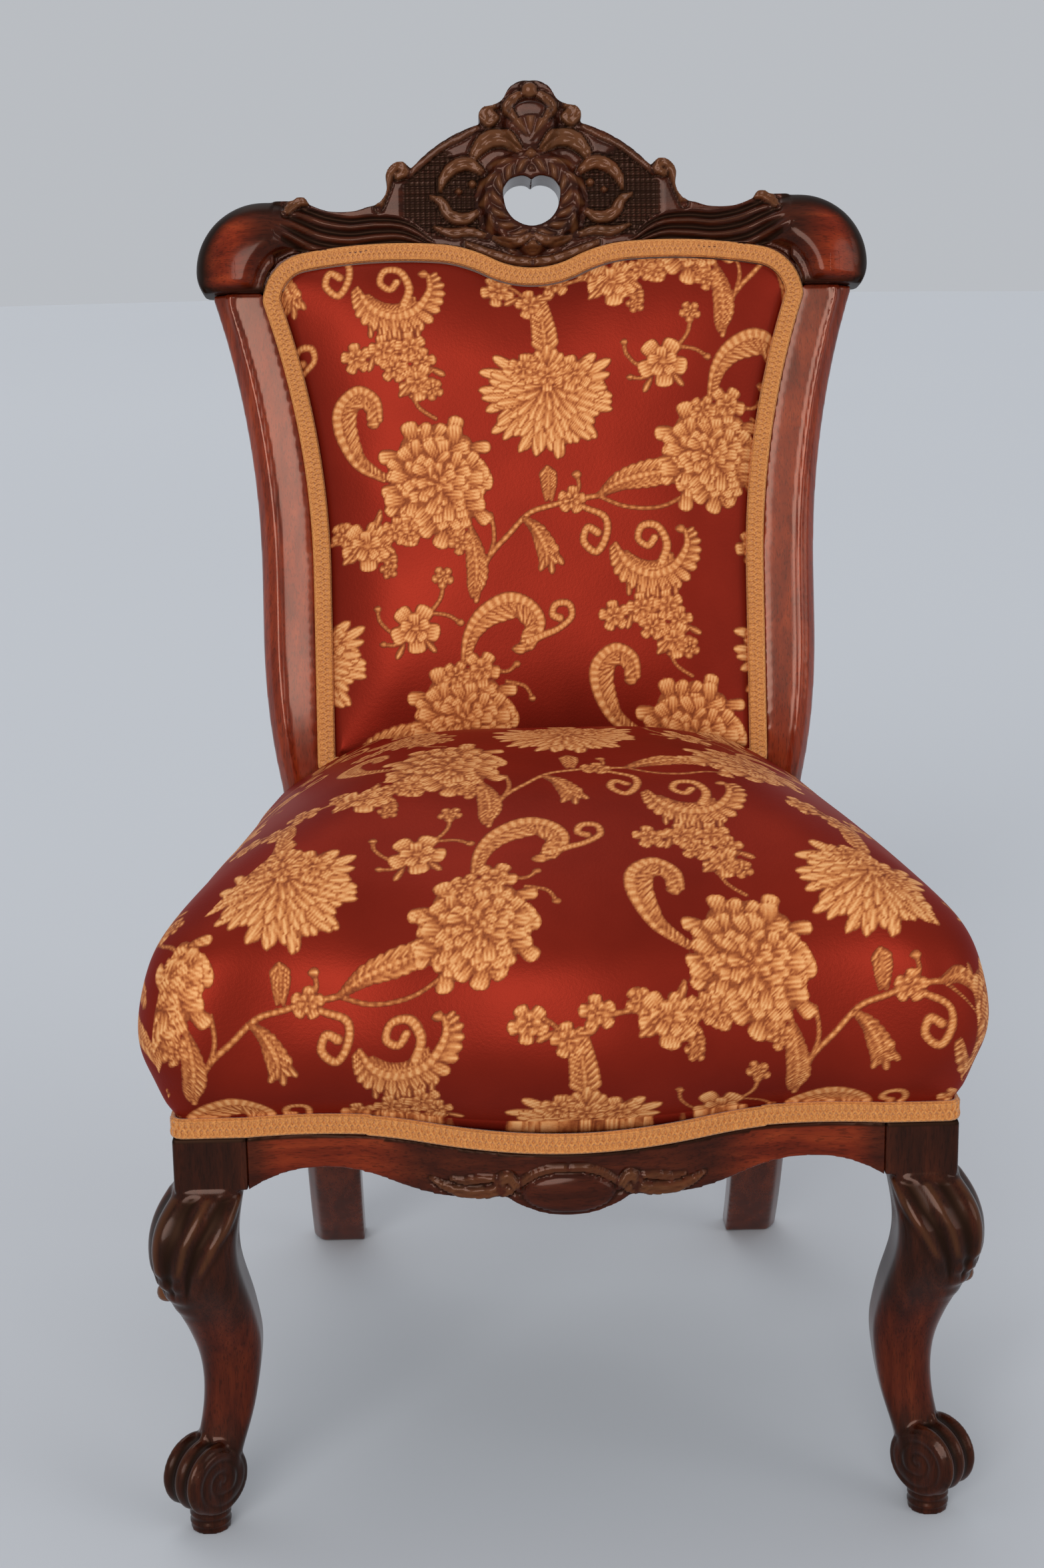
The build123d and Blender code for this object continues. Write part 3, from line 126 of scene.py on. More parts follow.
# %% Studio floor and lamps
FLOOR_RADIUS, FLOOR_SIDES = 12, 96
floor_turn = np.linspace(0, 2 * np.pi, FLOOR_SIDES, endpoint=False)
floor_rim = [(FLOOR_RADIUS * math.cos(turn), FLOOR_RADIUS * math.sin(turn), 0) for turn in floor_turn]
floor_mesh = bpy.data.meshes.new("studio_floor")
floor_mesh.from_pydata(floor_rim, [], [list(range(FLOOR_SIDES))])
studio_floor = bpy.data.objects.new("studio_floor", floor_mesh)
scene.collection.objects.link(studio_floor)
paper, paper_tree, paper_shader = new_material("pale_paper")
paper_cloud = add_node(paper_tree, "ShaderNodeTexNoise", Scale=2.0, Detail=3.0).outputs["Fac"]
paper_colour = colour_ramp(paper_tree, paper_cloud, ((0.3, (0.58, 0.60, 0.63)), (0.7, (0.62, 0.64, 0.67))))
feed(paper_tree, paper_shader, Base_Color=paper_colour, Roughness=0.85)
floor_mesh.materials.append(paper)

world = bpy.data.worlds.new("studio")
scene.world = world
world.use_nodes = True
feed(world.node_tree, world.node_tree.nodes["Background"], Color=(0.49, 0.51, 0.54, 1), Strength=1.0)
CHAIR_MIDDLE = Vector((0, 0, 0.5))


def soft_lamp(name, place, spread, strength):
    """A distant lamp with a soft edge, shining from a place towards the chair."""
    data = bpy.data.lights.new(name, "SUN")
    data.angle = math.radians(spread)
    data.energy = strength
    lamp = bpy.data.objects.new(name, data)
    lamp.location = place
    lamp.rotation_euler = (CHAIR_MIDDLE - Vector(place)).to_track_quat("-Z", "Y").to_euler()
    scene.collection.objects.link(lamp)


soft_lamp("key_lamp", (-1.1, -4.3, 2.3), 36, 1.75)
soft_lamp("fill_lamp", (3.4, -2.4, 2.0), 30, 0.42)
soft_lamp("top_lamp", (-0.6, 1.2, 3.6), 30, 0.30)
print("studio ready")

# %% [markdown]
# ## Mahogany
# The wood is dark red-brown with long streaks, fine pores and a French polish. Noise stretched along the
# grain gives the streaks, and one node group serves every wooden piece, turned to the way its grain runs.
# Carved pieces also carry three numbers per vertex: how deep a point lies in a hollow, where the colour gets
# painted shade and the polish is duller, how far it stands on a ridge, where rubbing has brightened it, and
# how much red figure is mixed in: a little of the wood's own red, and a painted red sheen, a painted
# highlight, strongest down the smooth rolled shoulders.

# %% Helpers for shaders


def new_group(name, inputs, outputs):
    """A shader node group with named sockets; gives the group and its two end nodes."""
    group = bpy.data.node_groups.new(name, "ShaderNodeTree")
    for label, kind, value in inputs:
        socket = group.interface.new_socket(label, in_out="INPUT", socket_type=kind)
        socket.default_value = value
    for label, kind in outputs:
        group.interface.new_socket(label, in_out="OUTPUT", socket_type=kind)
    return group, group.nodes.new("NodeGroupInput"), group.nodes.new("NodeGroupOutput")


def own_place(tree):
    """A point's place in the piece's own axes."""
    return add_node(tree, "ShaderNodeTexCoord").outputs["Object"]


def read(tree, name):
    """A number kept on the vertices."""
    return add_node(tree, "ShaderNodeAttribute", attribute_name=name).outputs["Fac"]


def noise(tree, place, scale, detail, **values):
    """Value of a noise at a place."""
    made = add_node(tree, "ShaderNodeTexNoise", Vector=place, Scale=scale, Detail=detail, **values)
    return made.outputs["Fac"]


def math_node(tree, operation, *values):
    """Result of a sum on numbers or sockets, given in order."""
    made = add_node(tree, "ShaderNodeMath", operation=operation)
    for socket, value in zip(made.inputs, values):
        plug(tree, socket, value)
    return made.outputs["Value"]


def map_range(tree, value, low, high, **values):
    """A number moved from one range to another, which is 0 to 1 if nothing else is said."""
    made = add_node(tree, "ShaderNodeMapRange", **values, Value=value, From_Min=low, From_Max=high)
    return made.outputs["Result"]


def mix_colour(tree, share, first, second, blend="MIX"):
    """Two colours mixed; the node's colour sockets are 6 and 7, and its colour result is 2."""
    made = add_node(tree, "ShaderNodeMix", data_type="RGBA", blend_type=blend)
    for index, value in zip((0, 6, 7), (share, first, second)):
        plug(tree, made.inputs[index], value)
    return made.outputs[2]


def bumped(tree, height, strength, distance):
    """Normals tilted by a fine height."""
    made = add_node(tree, "ShaderNodeBump", Strength=strength, Distance=distance, Height=height)
    return made.outputs["Normal"]


# %% Mahogany group
wood_group, wood_in, wood_out = new_group(
    "wood_figure",
    (
        ("Vector", "NodeSocketVector", (0, 0, 0)),
        ("Hollow", "NodeSocketFloat", 0),
        ("Ridge", "NodeSocketFloat", 0),
        ("Warm", "NodeSocketFloat", 0.25),
    ),
    (
        ("Color", "NodeSocketColor"),
        ("Roughness", "NodeSocketFloat"),
        ("Coat", "NodeSocketFloat"),
        ("Height", "NodeSocketFloat"),
    ),
)
grain, hollow, ridge, red_and_sheen = (wood_in.outputs[label] for label in ("Vector", "Hollow", "Ridge", "Warm"))
streaks = noise(wood_group, grain, 9.0, 6.0, Roughness=0.62, Distortion=0.35)
pores = noise(wood_group, grain, 95.0, 2.0)
cloud = noise(wood_group, grain, 3.0, 2.0)
brown_figure = colour_ramp(
    wood_group,
    streaks,
    (
        (0.28, (0.006, 0.0019, 0.0010)),
        (0.45, (0.016, 0.0038, 0.0018)),
        (0.58, (0.030, 0.0064, 0.0026)),
        (0.75, (0.052, 0.0110, 0.0040)),
    ),
)
# The red figure: the wood's own red, and the colour of the painted red sheen, a painted highlight
red_sheen_figure = colour_ramp(
    wood_group,
    streaks,
    (
        (0.28, (0.085, 0.0068, 0.0020)),
        (0.45, (0.160, 0.0150, 0.0038)),
        (0.58, (0.225, 0.0250, 0.0060)),
        (0.75, (0.300, 0.0420, 0.0100)),
    ),
)
# Mixed in a little everywhere as the wood's own red, and more where a painted red sheen lies
red_and_sheen_colour = mix_colour(wood_group, red_and_sheen, brown_figure, red_sheen_figure)
pore_shade = map_range(wood_group, pores, 0.36, 0.46, To_Min=0.6)
pored = mix_colour(wood_group, 1, red_and_sheen_colour, pore_shade, "MULTIPLY")
# Painted shade: carved hollows are coloured nearly black
sunk = mix_colour(wood_group, hollow, pored, (0.005, 0.0022, 0.0013, 1))
rubbed = mix_colour(wood_group, ridge, sunk, (0.150, 0.056, 0.020, 1))
gloss = map_range(wood_group, cloud, 0.3, 0.7, To_Min=0.15, To_Max=0.27)
dulled = math_node(wood_group, "MULTIPLY_ADD", hollow, 0.25, gloss)
polished = math_node(wood_group, "MULTIPLY_ADD", hollow, -0.18, 0.18)
feed(wood_group, wood_out, Color=rubbed, Roughness=dulled, Coat=polished, Height=pores)
print("wood figure", len(wood_group.nodes), "nodes")

# %% Mahogany materials


def mahogany(name, stretch, carved=False, polish=0.28, tint=(1.0, 0.46, 0.28, 1)):
    """Polished mahogany whose grain runs along the axis with the smallest stretch."""
    made, tree, shader = new_material(name)
    turned = add_node(tree, "ShaderNodeMapping", Vector=own_place(tree), Scale=stretch).outputs["Vector"]
    wood = add_node(tree, "ShaderNodeGroup", node_tree=wood_group, Vector=turned)
    if carved:
        # Carved pieces read their painted shade in hollows, their rubbing and their painted red sheen
        feed(tree, wood, Hollow=read(tree, "hollow"), Ridge=read(tree, "ridge"), Warm=read(tree, "red_and_sheen"))
    feed(
        tree,
        shader,
        Base_Color=wood.outputs["Color"],
        Roughness=wood.outputs["Roughness"],
        Normal=bumped(tree, wood.outputs["Height"], 0.06, 0.0004),
        Specular_IOR_Level=polish,
        Specular_Tint=tint,
        Coat_Weight=wood.outputs["Coat"] if carved else 0.12,
        Coat_Roughness=0.12,
    )
    return made


mahogany_upright = mahogany("mahogany_upright", (10, 10, 0.9))
mahogany_across = mahogany("mahogany_across", (0.9, 10, 10))
mahogany_deep = mahogany("mahogany_deep", (10, 0.9, 10))
mahogany_carved = mahogany("mahogany_carved", (1.2, 10, 10), True, 0.2)
mahogany_leg = mahogany("mahogany_leg", (10, 10, 1.2), True, 0.2)
mahogany_post = mahogany("mahogany_post", (10, 10, 1.2), True, 0.55, (1.0, 0.54, 0.38, 1))
print("mahogany ready")

# %% [markdown]
# ## Plain inner materials
# Beech blocks and dowels, dull steel, jute and black calico sit inside or under the chair. Little of them is
# ever seen, so plain procedural finishes do: a fleck in the beech, a cross weave in jute and calico, and
# mottled grey for the steel.

# %% Inner materials
beech, beech_tree, beech_shader = new_material("beech")
beech_turn = add_node(beech_tree, "ShaderNodeMapping", Vector=own_place(beech_tree), Scale=(6, 60, 60))
beech_fleck = noise(beech_tree, beech_turn.outputs["Vector"], 8.0, 5.0)
beech_colour = colour_ramp(beech_tree, beech_fleck, ((0.35, (0.42, 0.26, 0.13)), (0.65, (0.60, 0.42, 0.24))))
feed(beech_tree, beech_shader, Base_Color=beech_colour, Roughness=0.6)

steel, steel_tree, steel_shader = new_material("dull_steel")
steel_fleck = noise(steel_tree, own_place(steel_tree), 120.0, 3.0)
steel_colour = colour_ramp(steel_tree, steel_fleck, ((0.35, (0.16, 0.14, 0.12)), (0.65, (0.42, 0.41, 0.40))))
feed(steel_tree, steel_shader, Base_Color=steel_colour, Metallic=1, Roughness=0.42)

weave_group, weave_in, weave_out = new_group(
    "cross_weave",
    (("Vector", "NodeSocketVector", (0, 0, 0)), ("Pitch", "NodeSocketFloat", 700)),
    (("Height", "NodeSocketFloat"),),
)
threads = []
for axis in ("X", "Y", "Z"):
    thread = add_node(weave_group, "ShaderNodeTexWave", wave_type="BANDS", bands_direction=axis)
    feed(weave_group, thread, Vector=weave_in.outputs["Vector"], Scale=weave_in.outputs["Pitch"])
    feed(weave_group, thread, Distortion=1.2)
    threads.append(thread.outputs["Fac"])
upper = math_node(weave_group, "MAXIMUM", threads[0], threads[1])
feed(weave_group, weave_out, Height=math_node(weave_group, "MAXIMUM", upper, threads[2]))


def plain_cloth(name, dark, light, pitch):
    """Plain woven cloth of two close shades."""
    made, tree, shader = new_material(name)
    weave = add_node(tree, "ShaderNodeGroup", node_tree=weave_group, Vector=own_place(tree), Pitch=pitch)
    height = weave.outputs["Height"]
    colour = colour_ramp(tree, height, ((0.2, dark), (0.9, light)))
    feed(tree, shader, Base_Color=colour, Roughness=0.9, Normal=bumped(tree, height, 0.4, 0.0004))
    return made


jute = plain_cloth("jute", (0.22, 0.15, 0.08), (0.50, 0.38, 0.22), 500)
calico = plain_cloth("black_calico", (0.008, 0.008, 0.009), (0.030, 0.030, 0.032), 700)
print("inner materials ready")

# %% Materials of the CAD nodes that stay
# The first word that a node's name holds decides; the last one is in every name
FINISHES = (
    ("dowels", beech),
    ("strap", jute),
    ("hessian", jute),
    ("stuffing", jute),
    ("screws", steel),
    ("tacks", steel),
    ("seat_spring", steel),
    ("corner_block", beech),
    ("dust_cover", calico),
    ("post", mahogany_upright),
    ("leg", mahogany_upright),
    ("side_seat_rail", mahogany_deep),
    ("", mahogany_across),
)
for name, node in nodes.items():
    node.data.materials.clear()
    node.data.materials.append(next(finish for word, finish in FINISHES if word in name))
print("CAD nodes painted")

# %% [markdown]
# ## Damask
# The cover is a red satin with gold flowers: full peonies, a hanging carnation, curled acanthus leaves, small
# sprigs and a crescent spray, joined by thin stems. It repeats as woven damask does: each motif comes again
# half a width to the side and half a height up. Shader nodes alone would make such flowers slow and hard to
# follow, so one repeat is drawn once, petal over petal, on a fine grid that keeps two numbers: how far a spot
# lies inside the gold, and how light the thread is there. Every point of the cloth then looks up its own
# place in the repeat.

# %% Drawing tools for the repeat
REPEAT_WIDE, REPEAT_HIGH, DRAW_STEP = 400, 414, 0.5
OUTSIDE = -9.0
gold = np.full((int(REPEAT_HIGH / DRAW_STEP), int(REPEAT_WIDE / DRAW_STEP)), OUTSIDE)
tone = np.zeros_like(gold)


def smooth_rows(rows, count):
    """Points on a smooth curve through the rows of a table."""
    place = np.linspace(0, len(rows) - 1, count)
    first = np.minimum(place.astype(int), len(rows) - 2)
    part = (place - first)[:, None]
    near = [rows[np.clip(first + step, 0, len(rows) - 1)] for step in (-1, 0, 1, 2)]
    weights = (
        (-part + 2 * part**2 - part**3) / 2,
        (2 - 5 * part**2 + 3 * part**3) / 2,
        (part + 4 * part**2 - 3 * part**3) / 2,
        (part**3 - part**2) / 2,
    )
    return sum(weight * row for weight, row in zip(weights, near))


def paint(places, reach, shape):
    """Paint a shape on the repeat, at both of its places."""
    low, high = np.min(places, 0) - reach, np.max(places, 0) + reach
    for shift in ((0, 0), (REPEAT_WIDE / 2, REPEAT_HIGH / 2)):
        columns = np.arange(int((low[0] + shift[0]) / DRAW_STEP), int((high[0] + shift[0]) / DRAW_STEP) + 1)
        rows = np.arange(int((low[1] + shift[1]) / DRAW_STEP), int((high[1] + shift[1]) / DRAW_STEP) + 1)
        inside, light = shape(columns[None, :] * DRAW_STEP - shift[0], rows[:, None] * DRAW_STEP - shift[1])
        window = np.ix_(rows % gold.shape[0], columns % gold.shape[1])
        tone[window] = np.where(inside > 0, light, tone[window])
        gold[window] = np.maximum(gold[window], inside)


def petal(place, angle, long, wide, full=0.0):
    """One petal with a dark edge and a few veins; a full one is broad at its tip and dark at its foot."""
    def shape(p, q):
        u = ((p - place[0]) * math.cos(angle) + (q - place[1]) * math.sin(angle)) / long
        v = (q - place[1]) * math.cos(angle) - (p - place[0]) * math.sin(angle)
        half = wide * np.sqrt(np.clip(1 - np.abs(u) ** (2 + full), 0, 1)) * (0.8 + 0.2 * u)
        inside = np.minimum(half - np.abs(v), (1 - np.abs(u)) * long)
        veins = 0.66 + 0.28 * np.cos(2.3 * v) + (0.22 + 0.2 * full) * u
        return inside, np.clip((inside + 0.1) / 1.8, 0.15, 1) * veins
    paint([place], max(long, wide) + 4, shape)


def stem(points, widths):
    """A smooth stem or spine, lightest along its middle, with bars across it."""
    line = smooth_rows(np.column_stack([points, widths]).astype(float), 16 * len(widths))

    def shape(p, q):
        inside = np.full(np.broadcast(p, q).shape, OUTSIDE)
        light = np.zeros_like(inside)
        for k, (x, y, width) in enumerate(line):
            here = width - np.hypot(p - x, q - y)
            light = np.where(here > inside, 0.75 + 0.25 * math.cos(1.3 * k), light)
            inside = np.maximum(inside, here)
        return inside, light * np.clip(0.2 + inside / 1.7, 0.2, 1)
    paint(points, max(widths) + 4, shape)

# %% Leaves and flowers made of petals


def acanthus(points, widths, sides, lean=0.9, spine=0.22):
    """A curled leaf: rows of lobes along one or both sides of a spine."""
    line = smooth_rows(np.column_stack([points, widths]).astype(float), 90)
    way = np.gradient(line[:, :2], axis=0)
    run = np.concatenate([[0], np.cumsum(np.hypot(*np.diff(line[:, :2], axis=0).T))])
    place = 0.0
    while place < run[-1]:
        k = int(np.searchsorted(run, place))
        x, y, width = line[k]
        for side in sides:
            angle = math.atan2(way[k, 1], way[k, 0]) + side * lean
            spot = (x + 0.6 * width * math.cos(angle), y + 0.6 * width * math.sin(angle))
            petal(spot, angle, 0.82 * width, 0.42 * width, 0.6)
        place += max(0.52 * width, 2.2)
    stem(points, [max(0.9, spine * width) for width in widths])


def petal_fan(foot, start, end, count, long, wide):
    """A row of petals spread from one foot."""
    for k, angle in enumerate(np.linspace(start, end, count)):
        reach = long * (1 + 0.10 * math.sin(2.4 * k + long))
        spot = (foot[0] + 0.58 * reach * math.cos(angle), foot[1] + 0.58 * reach * math.sin(angle))
        petal(spot, angle + 0.2 * math.sin(1.7 * k), 0.44 * reach, wide, 1.0)


def flower_ground(place, wide, high):
    """The dark gold that shows between the petals of a full flower."""
    def shape(p, q):
        across, up = (p - place[0]) / wide, (q - place[1]) / high
        rim = 1 + 0.06 * np.sin(9 * np.arctan2(up, across))
        return (rim - np.hypot(across, up)) * min(wide, high), np.full(np.broadcast(p, q).shape, 0.22)
    paint([place], max(wide, high) + 6, shape)


def bloom(place, wide, high, rings):
    """A full flower: rings of petals laid from the rim to the heart."""
    flower_ground(place, 0.87 * wide, 0.87 * high)
    for count, radius, long, broad, turn in rings:
        for k in range(count):
            angle = 2 * math.pi * (k + turn) / count
            wave = 1 + 0.15 * math.sin(3.7 * k + 5 * turn)
            spot = (
                place[0] + wide * radius * wave * math.cos(angle),
                place[1] + high * radius * wave * math.sin(angle),
            )
            across = broad * (1 + 0.2 * math.cos(1.9 * k))
            petal(spot, angle + 0.6 * math.sin(2.3 * k), long * wave, across, 1.0)


def sprig(place, size, turn=0.0):
    """A small flower: five outer petals, five inner ones between them, and a heart."""
    for radius, long, wide, step in ((0.78, 0.50, 0.54, 0.0), (0.40, 0.38, 0.38, 0.5)):
        for k in range(5):
            angle = turn + 2 * math.pi * (k + step) / 5
            spot = (place[0] + radius * size * math.cos(angle), place[1] + radius * size * math.sin(angle))
            petal(spot, angle, long * size, wide * size, 1.0)
    petal(place, 0, 0.24 * size, 0.24 * size)


def tendril(points, size):
    """A thin stalk that ends in a berry."""
    stem(points, [1.3] * len(points))
    petal(points[-1], 0, size + 0.8, size + 0.8)


# %% Stems and berries of one repeat
for points, width in (
    (((-51, -250), (-42, -219), (-24, -198), (-8, -182), (10, -176), (26, -172), (47, -169)), 1.9),
    (((47, -169), (70, -178), (98, -178), (122, -166)), 1.4),
    (((-38, -182), (-36, -202), (-44, -224)), 1.4),
    (((4, -20), (14, -4), (36, 5), (64, 5), (84, 12)), 1.6),
    (((-126, -178), (-132, -190), (-138, -204)), 1.4),
    (((100, -64), (112, -52), (121, -40), (123, -26)), 1.4),
    (((80, -258), (92, -268), (106, -282)), 1.4),
    (((60, -262), (80, -262), (100, -257)), 1.4),
):
    stem(points, [width] * len(points))
for points, size in (
    (((26, -172), (32, -162), (30, -152)), 3.0),
    (((100, -64), (84, -68), (72, -58), (70, -48)), 2.2),
    (((100, -64), (86, -76), (74, -76)), 2.0),
    (((112, -52), (126, -54), (136, -60)), 2.4),
    (((-138, -204), (-152, -198), (-158, -188)), 2.2),
    (((-138, -204), (-124, -216), (-116, -214)), 2.2),
    (((-3, -15), (-16, -2), (-30, 2)), 2.2),
    (((64, 5), (72, -8), (84, -10)), 2.4),
    (((-80, -106), (-92, -98), (-98, -88)), 2.0),
    (((158, -98), (172, -100), (180, -94)), 2.2),
    (((172, -108), (186, -112), (192, -122)), 2.2),
):
    tendril(points, size)
print("stems drawn, gold share", round(float((gold > 0).mean()), 2))

# %% Leaves and scrolls of one repeat
acanthus(((-55, -190), (-52, -206), (-50, -226), (-53, -246)), (2.5, 9, 9, 2), (1, -1), 0.55)
acanthus(((47, -169), (63, -159), (84, -153), (104, -150)), (3, 10, 12, 5), (1, -1), 0.6)
acanthus(((-13, -185), (-4, -193), (3, -205), (6, -214)), (3, 8, 11, 8), (1, -1), 0.5)
acanthus(((7, -146), (8, -156), (8, -170)), (7, 6, 3), (1, -1), 0.7)
acanthus(((8, -54), (7, -40), (5, -24), (4, -10)), (10, 9, 7, 3), (1, -1), 0.8)
acanthus(((-122, -154), (-144, -141), (-157, -116), (-157, -95), (-142, -82), (-127, -90), (-124, -106)),
         (5, 10, 14, 15, 13, 11, 7), (-1,), 0.95, 0.27)
petal((-130, -109), 0, 5, 4.5)
acanthus(((137, -93), (141, -70), (153, -52), (174, -41), (192, -47), (200, -62), (192, -81)),
         (5, 10, 15, 16, 14, 12, 7), (-1,), 0.95, 0.27)
petal((182, -82), 0, 5.5, 5)
stem(((190, -76), (202, -71), (214, -66), (224, -57), (222, -47), (212, -47), (209, -55), (215, -58)),
     (3.2, 2.8, 2.4, 2.4, 2.6, 2.6, 2.6, 3.0))
acanthus(((60, -207), (70, -223), (88, -231), (106, -226), (117, -210), (116, -197)),
         (5, 11, 13, 12, 9, 5), (-1,), 1.25, 0.3)
acanthus(((66, -214), (78, -224), (92, -227), (106, -220)), (3, 5, 6, 4), (1,), 0.9, 0.3)
petal((112, -196), 0, 4, 4)
stem(((97, -221), (101, -208), (94, -194), (82, -193), (78, -203), (86, -209), (91, -203)),
     (3.4, 3.2, 3.0, 2.8, 2.6, 2.6, 3.0))
stem(((26, -174), (38, -179), (52, -186), (53, -200), (45, -213), (35, -205), (38, -194), (46, -198)),
     (1.8, 2.2, 2.6, 2.8, 2.8, 2.8, 2.8, 3.2))
for k in range(6):
    petal((70 + 7.5 * k, -243 - 2.2 * math.sin(0.6 * k)), -1.57, 5.5, 2.6)
for place, angle in (((2, -222), -1.9), ((9, -224), -1.5), ((15, -218), -1.0)):
    petal(place, angle, 6, 3)
print("leaves drawn, gold share", round(float((gold > 0).mean()), 2))

# %% Flowers of one repeat
full_rings = (
    (21, 0.86, 7.4, 7.0, 0.0),
    (19, 0.73, 7.6, 6.4, 0.5),
    (15, 0.60, 7.6, 6.2, 0.2),
    (13, 0.47, 7.4, 5.6, 0.6),
    (10, 0.34, 7.0, 5.2, 0.1),
    (7, 0.21, 6.0, 4.6, 0.5),
    (4, 0.08, 4.5, 3.6, 0.2),
)
bloom((-80, -156), 43, 49, full_rings)
bloom((138, -138), 42, 42, full_rings)
for place, size in (((152, -98), 12), ((132, -102), 9), ((-62, -204), 8), ((-104, -196), 8)):
    sprig(place, size, 0.4 * size)
flower_ground((8, -94), 38, 34)
for foot, start, end, count, long, wide in (
    ((8, -84), -3.7, 0.56, 21, 50, 5.2),
    ((9, -88), -3.5, 0.36, 19, 47, 4.6),
    ((9, -86), -3.6, 0.46, 17, 38, 4.4),
    ((9, -84), -3.7, 0.56, 15, 29, 4.2),
    ((9, -80), -3.9, 0.76, 11, 20, 3.8),
    ((8, -70), 0.35, 2.8, 7, 20, 4.2),
):
    petal_fan(foot, start, end, count, long, wide)
for place, size, turn in (((30, -72), 12, 0.6), ((-10, -68), 10, 0.2), ((9, -74), 10, 0.9)):
    sprig(place, size, turn)
for place, size in (
    ((-29, -3), 11), ((-3, -15), 10), ((16, 3), 10), ((66, 4), 13), ((86, 13), 9), ((44, 12), 8),
    ((100, -64), 16), ((123, -24), 7), ((26, -172), 9),
    ((58, -264), 10), ((80, -258), 10), ((101, -256), 10), ((110, -268), 9), ((106, -284), 12),
    ((88, -273), 9), ((118, -290), 7), ((-138, -205), 16), ((-120, -224), 6),
):
    sprig(place, size, 0.3 * size)
for place, angle in (
    ((-18, -12), 3.6), ((8, -10), 0.2), ((52, -2), 4.0), ((80, 0), 5.6), ((112, -78), 5.4), ((88, -82), 4.2),
    ((-152, -214), 3.9), ((-128, -186), 1.2), ((70, -268), 4.4), ((96, -290), 4.0), ((122, -276), 5.8),
):
    petal(place, angle, 7, 3)
print("repeat drawn:", gold.shape, "gold share", round(float((gold > 0).mean()), 2))

# %% Looking the repeat up


def look_up(field, p, q):
    """Value of the repeat at places on the cloth, between the drawn points."""
    column, row = np.asarray(p) / DRAW_STEP, np.asarray(q) / DRAW_STEP
    i, j = np.floor(column).astype(int), np.floor(row).astype(int)
    u, v = column - i, row - j
    rows, columns = field.shape
    south = field[j % rows, i % columns] * (1 - u) + field[j % rows, (i + 1) % columns] * u
    north = field[(j + 1) % rows, i % columns] * (1 - u) + field[(j + 1) % rows, (i + 1) % columns] * u
    return south * (1 - v) + north * v


def lay_damask(piece, p, q, sides=1, under=0):
    """Keep the damask's two numbers on a piece: one or two sides of cloth, then points without a pattern."""
    for name, field, plain in (("gold", gold, OUTSIDE), ("tone", tone, 0)):
        value = look_up(field, p, q).ravel()
        store(piece, name, np.concatenate([np.tile(value, sides), np.full(under, plain)]))


# %% [markdown]
# ## Seat cushion
# Coil springs and stuffing push the seat up into a dome that swells over the rails and is drawn in at the
# gimp. The cover is one square sheet of cloth, so it is made as one square grid: its outer rings hang down
# the sides, its middle is the crown, and the corners of the rings meet in the two front pleats. Blender's
# Cloth then blows the sheet up a little, as stuffing does, with its lower edge held.

# %% Helpers for meshes


def grid_faces(rows, columns):
    """Quads of a grid of points stored row by row."""
    corner = (np.arange(rows - 1)[:, None] * columns + np.arange(columns - 1)[None, :]).ravel()
    return np.stack([corner, corner + 1, corner + columns + 1, corner + columns], 1)


def rim_loop(rows, columns):
    """Points round the edge of such a grid, in order."""
    index = np.arange(rows * columns).reshape(rows, columns)
    return np.concatenate([index[0, :-1], index[:-1, -1], index[-1, :0:-1], index[:0:-1, 0]])


def settle(name, mesh, material):
    """Make a smooth piece of a mesh, with one material, and let it ride on the chair."""
    mesh.name = name
    mesh.polygons.foreach_set("use_smooth", np.ones(len(mesh.polygons), bool))
    mesh.materials.clear()
    mesh.materials.append(material)
    mesh.update()
    piece = bpy.data.objects.new(name, mesh)
    scene.collection.objects.link(piece)
    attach(piece, "root")
    print(name, len(mesh.vertices), "vertices")
    return piece


def make_piece(name, points, faces, material):
    """Make a piece from points in millimetres and faces."""
    mesh = bpy.data.meshes.new(name)
    mesh.from_pydata((np.asarray(points) / 1000).tolist(), [], [list(map(int, f)) for f in faces])
    return settle(name, mesh, material)


def store(piece, name, values):
    """Keep one number per vertex, for the material to read."""
    attribute = piece.data.attributes.new(name, "FLOAT", "POINT")
    attribute.data.foreach_set("value", np.asarray(values, np.float32).ravel())


# %% Seat outline
FRONT_HALF, REAR_HALF, BLOCK, POST_INNER = 265, 206, 50, 158
FRONT_Y, POST_FRONT_Y = -253.4, 146.6
SHOW_TOP, SHOW_DIP, SHOW_DIP_HALF = 294, 7, 170
SWELL_HALF, SWELL_SAG, SWELL_RADIUS, APRON_BOW = 95, 16, 290, 25
HOLLOW_END = FRONT_HALF - BLOCK
CUSHION_BASE, SEAT_CROWN, SEAT_BULGE = 308, 508, 23
CUSHION_ROWS = np.array(
    (
        (0.0, 0.0, 3, 18),
        (0.11, 0.57, 0, 18),
        (0.25, 1.0, 0, 18),
        (0.425, 0.83, 0, 17),
        (0.58, 0.3, 0, 0),
        (0.7, 0.0, 24, -9),
        (0.83, 0.0, 70, -27),
        (0.925, 0.0, 115, -80),
        (0.975, 0.0, 155, -118),
        (1.0, 0.0, 195, -140),
    )
)


def front_bow(x):
    """Depth of the serpentine front at a place across, for the bare rail: a swell between two hollows."""
    deep, reach = APRON_BOW - SWELL_SAG, HOLLOW_END - SWELL_HALF
    turn = 2 * np.arctan(SWELL_SAG / SWELL_HALF)
    radius = np.hypot(reach, deep) / (2 * np.sin(turn - np.arctan(deep / reach)))
    middle_x, middle_y = SWELL_HALF + radius * np.sin(turn), -deep - radius * np.cos(turn)
    x = np.abs(x)
    swell = SWELL_RADIUS - APRON_BOW - np.sqrt(SWELL_RADIUS**2 - np.minimum(x, SWELL_HALF) ** 2)
    hollow = middle_y + np.sqrt(np.maximum(radius**2 - (np.minimum(x, HOLLOW_END) - middle_x) ** 2, 0))
    return np.where(x < SWELL_HALF, swell, np.where(x < HOLLOW_END, hollow, 0))


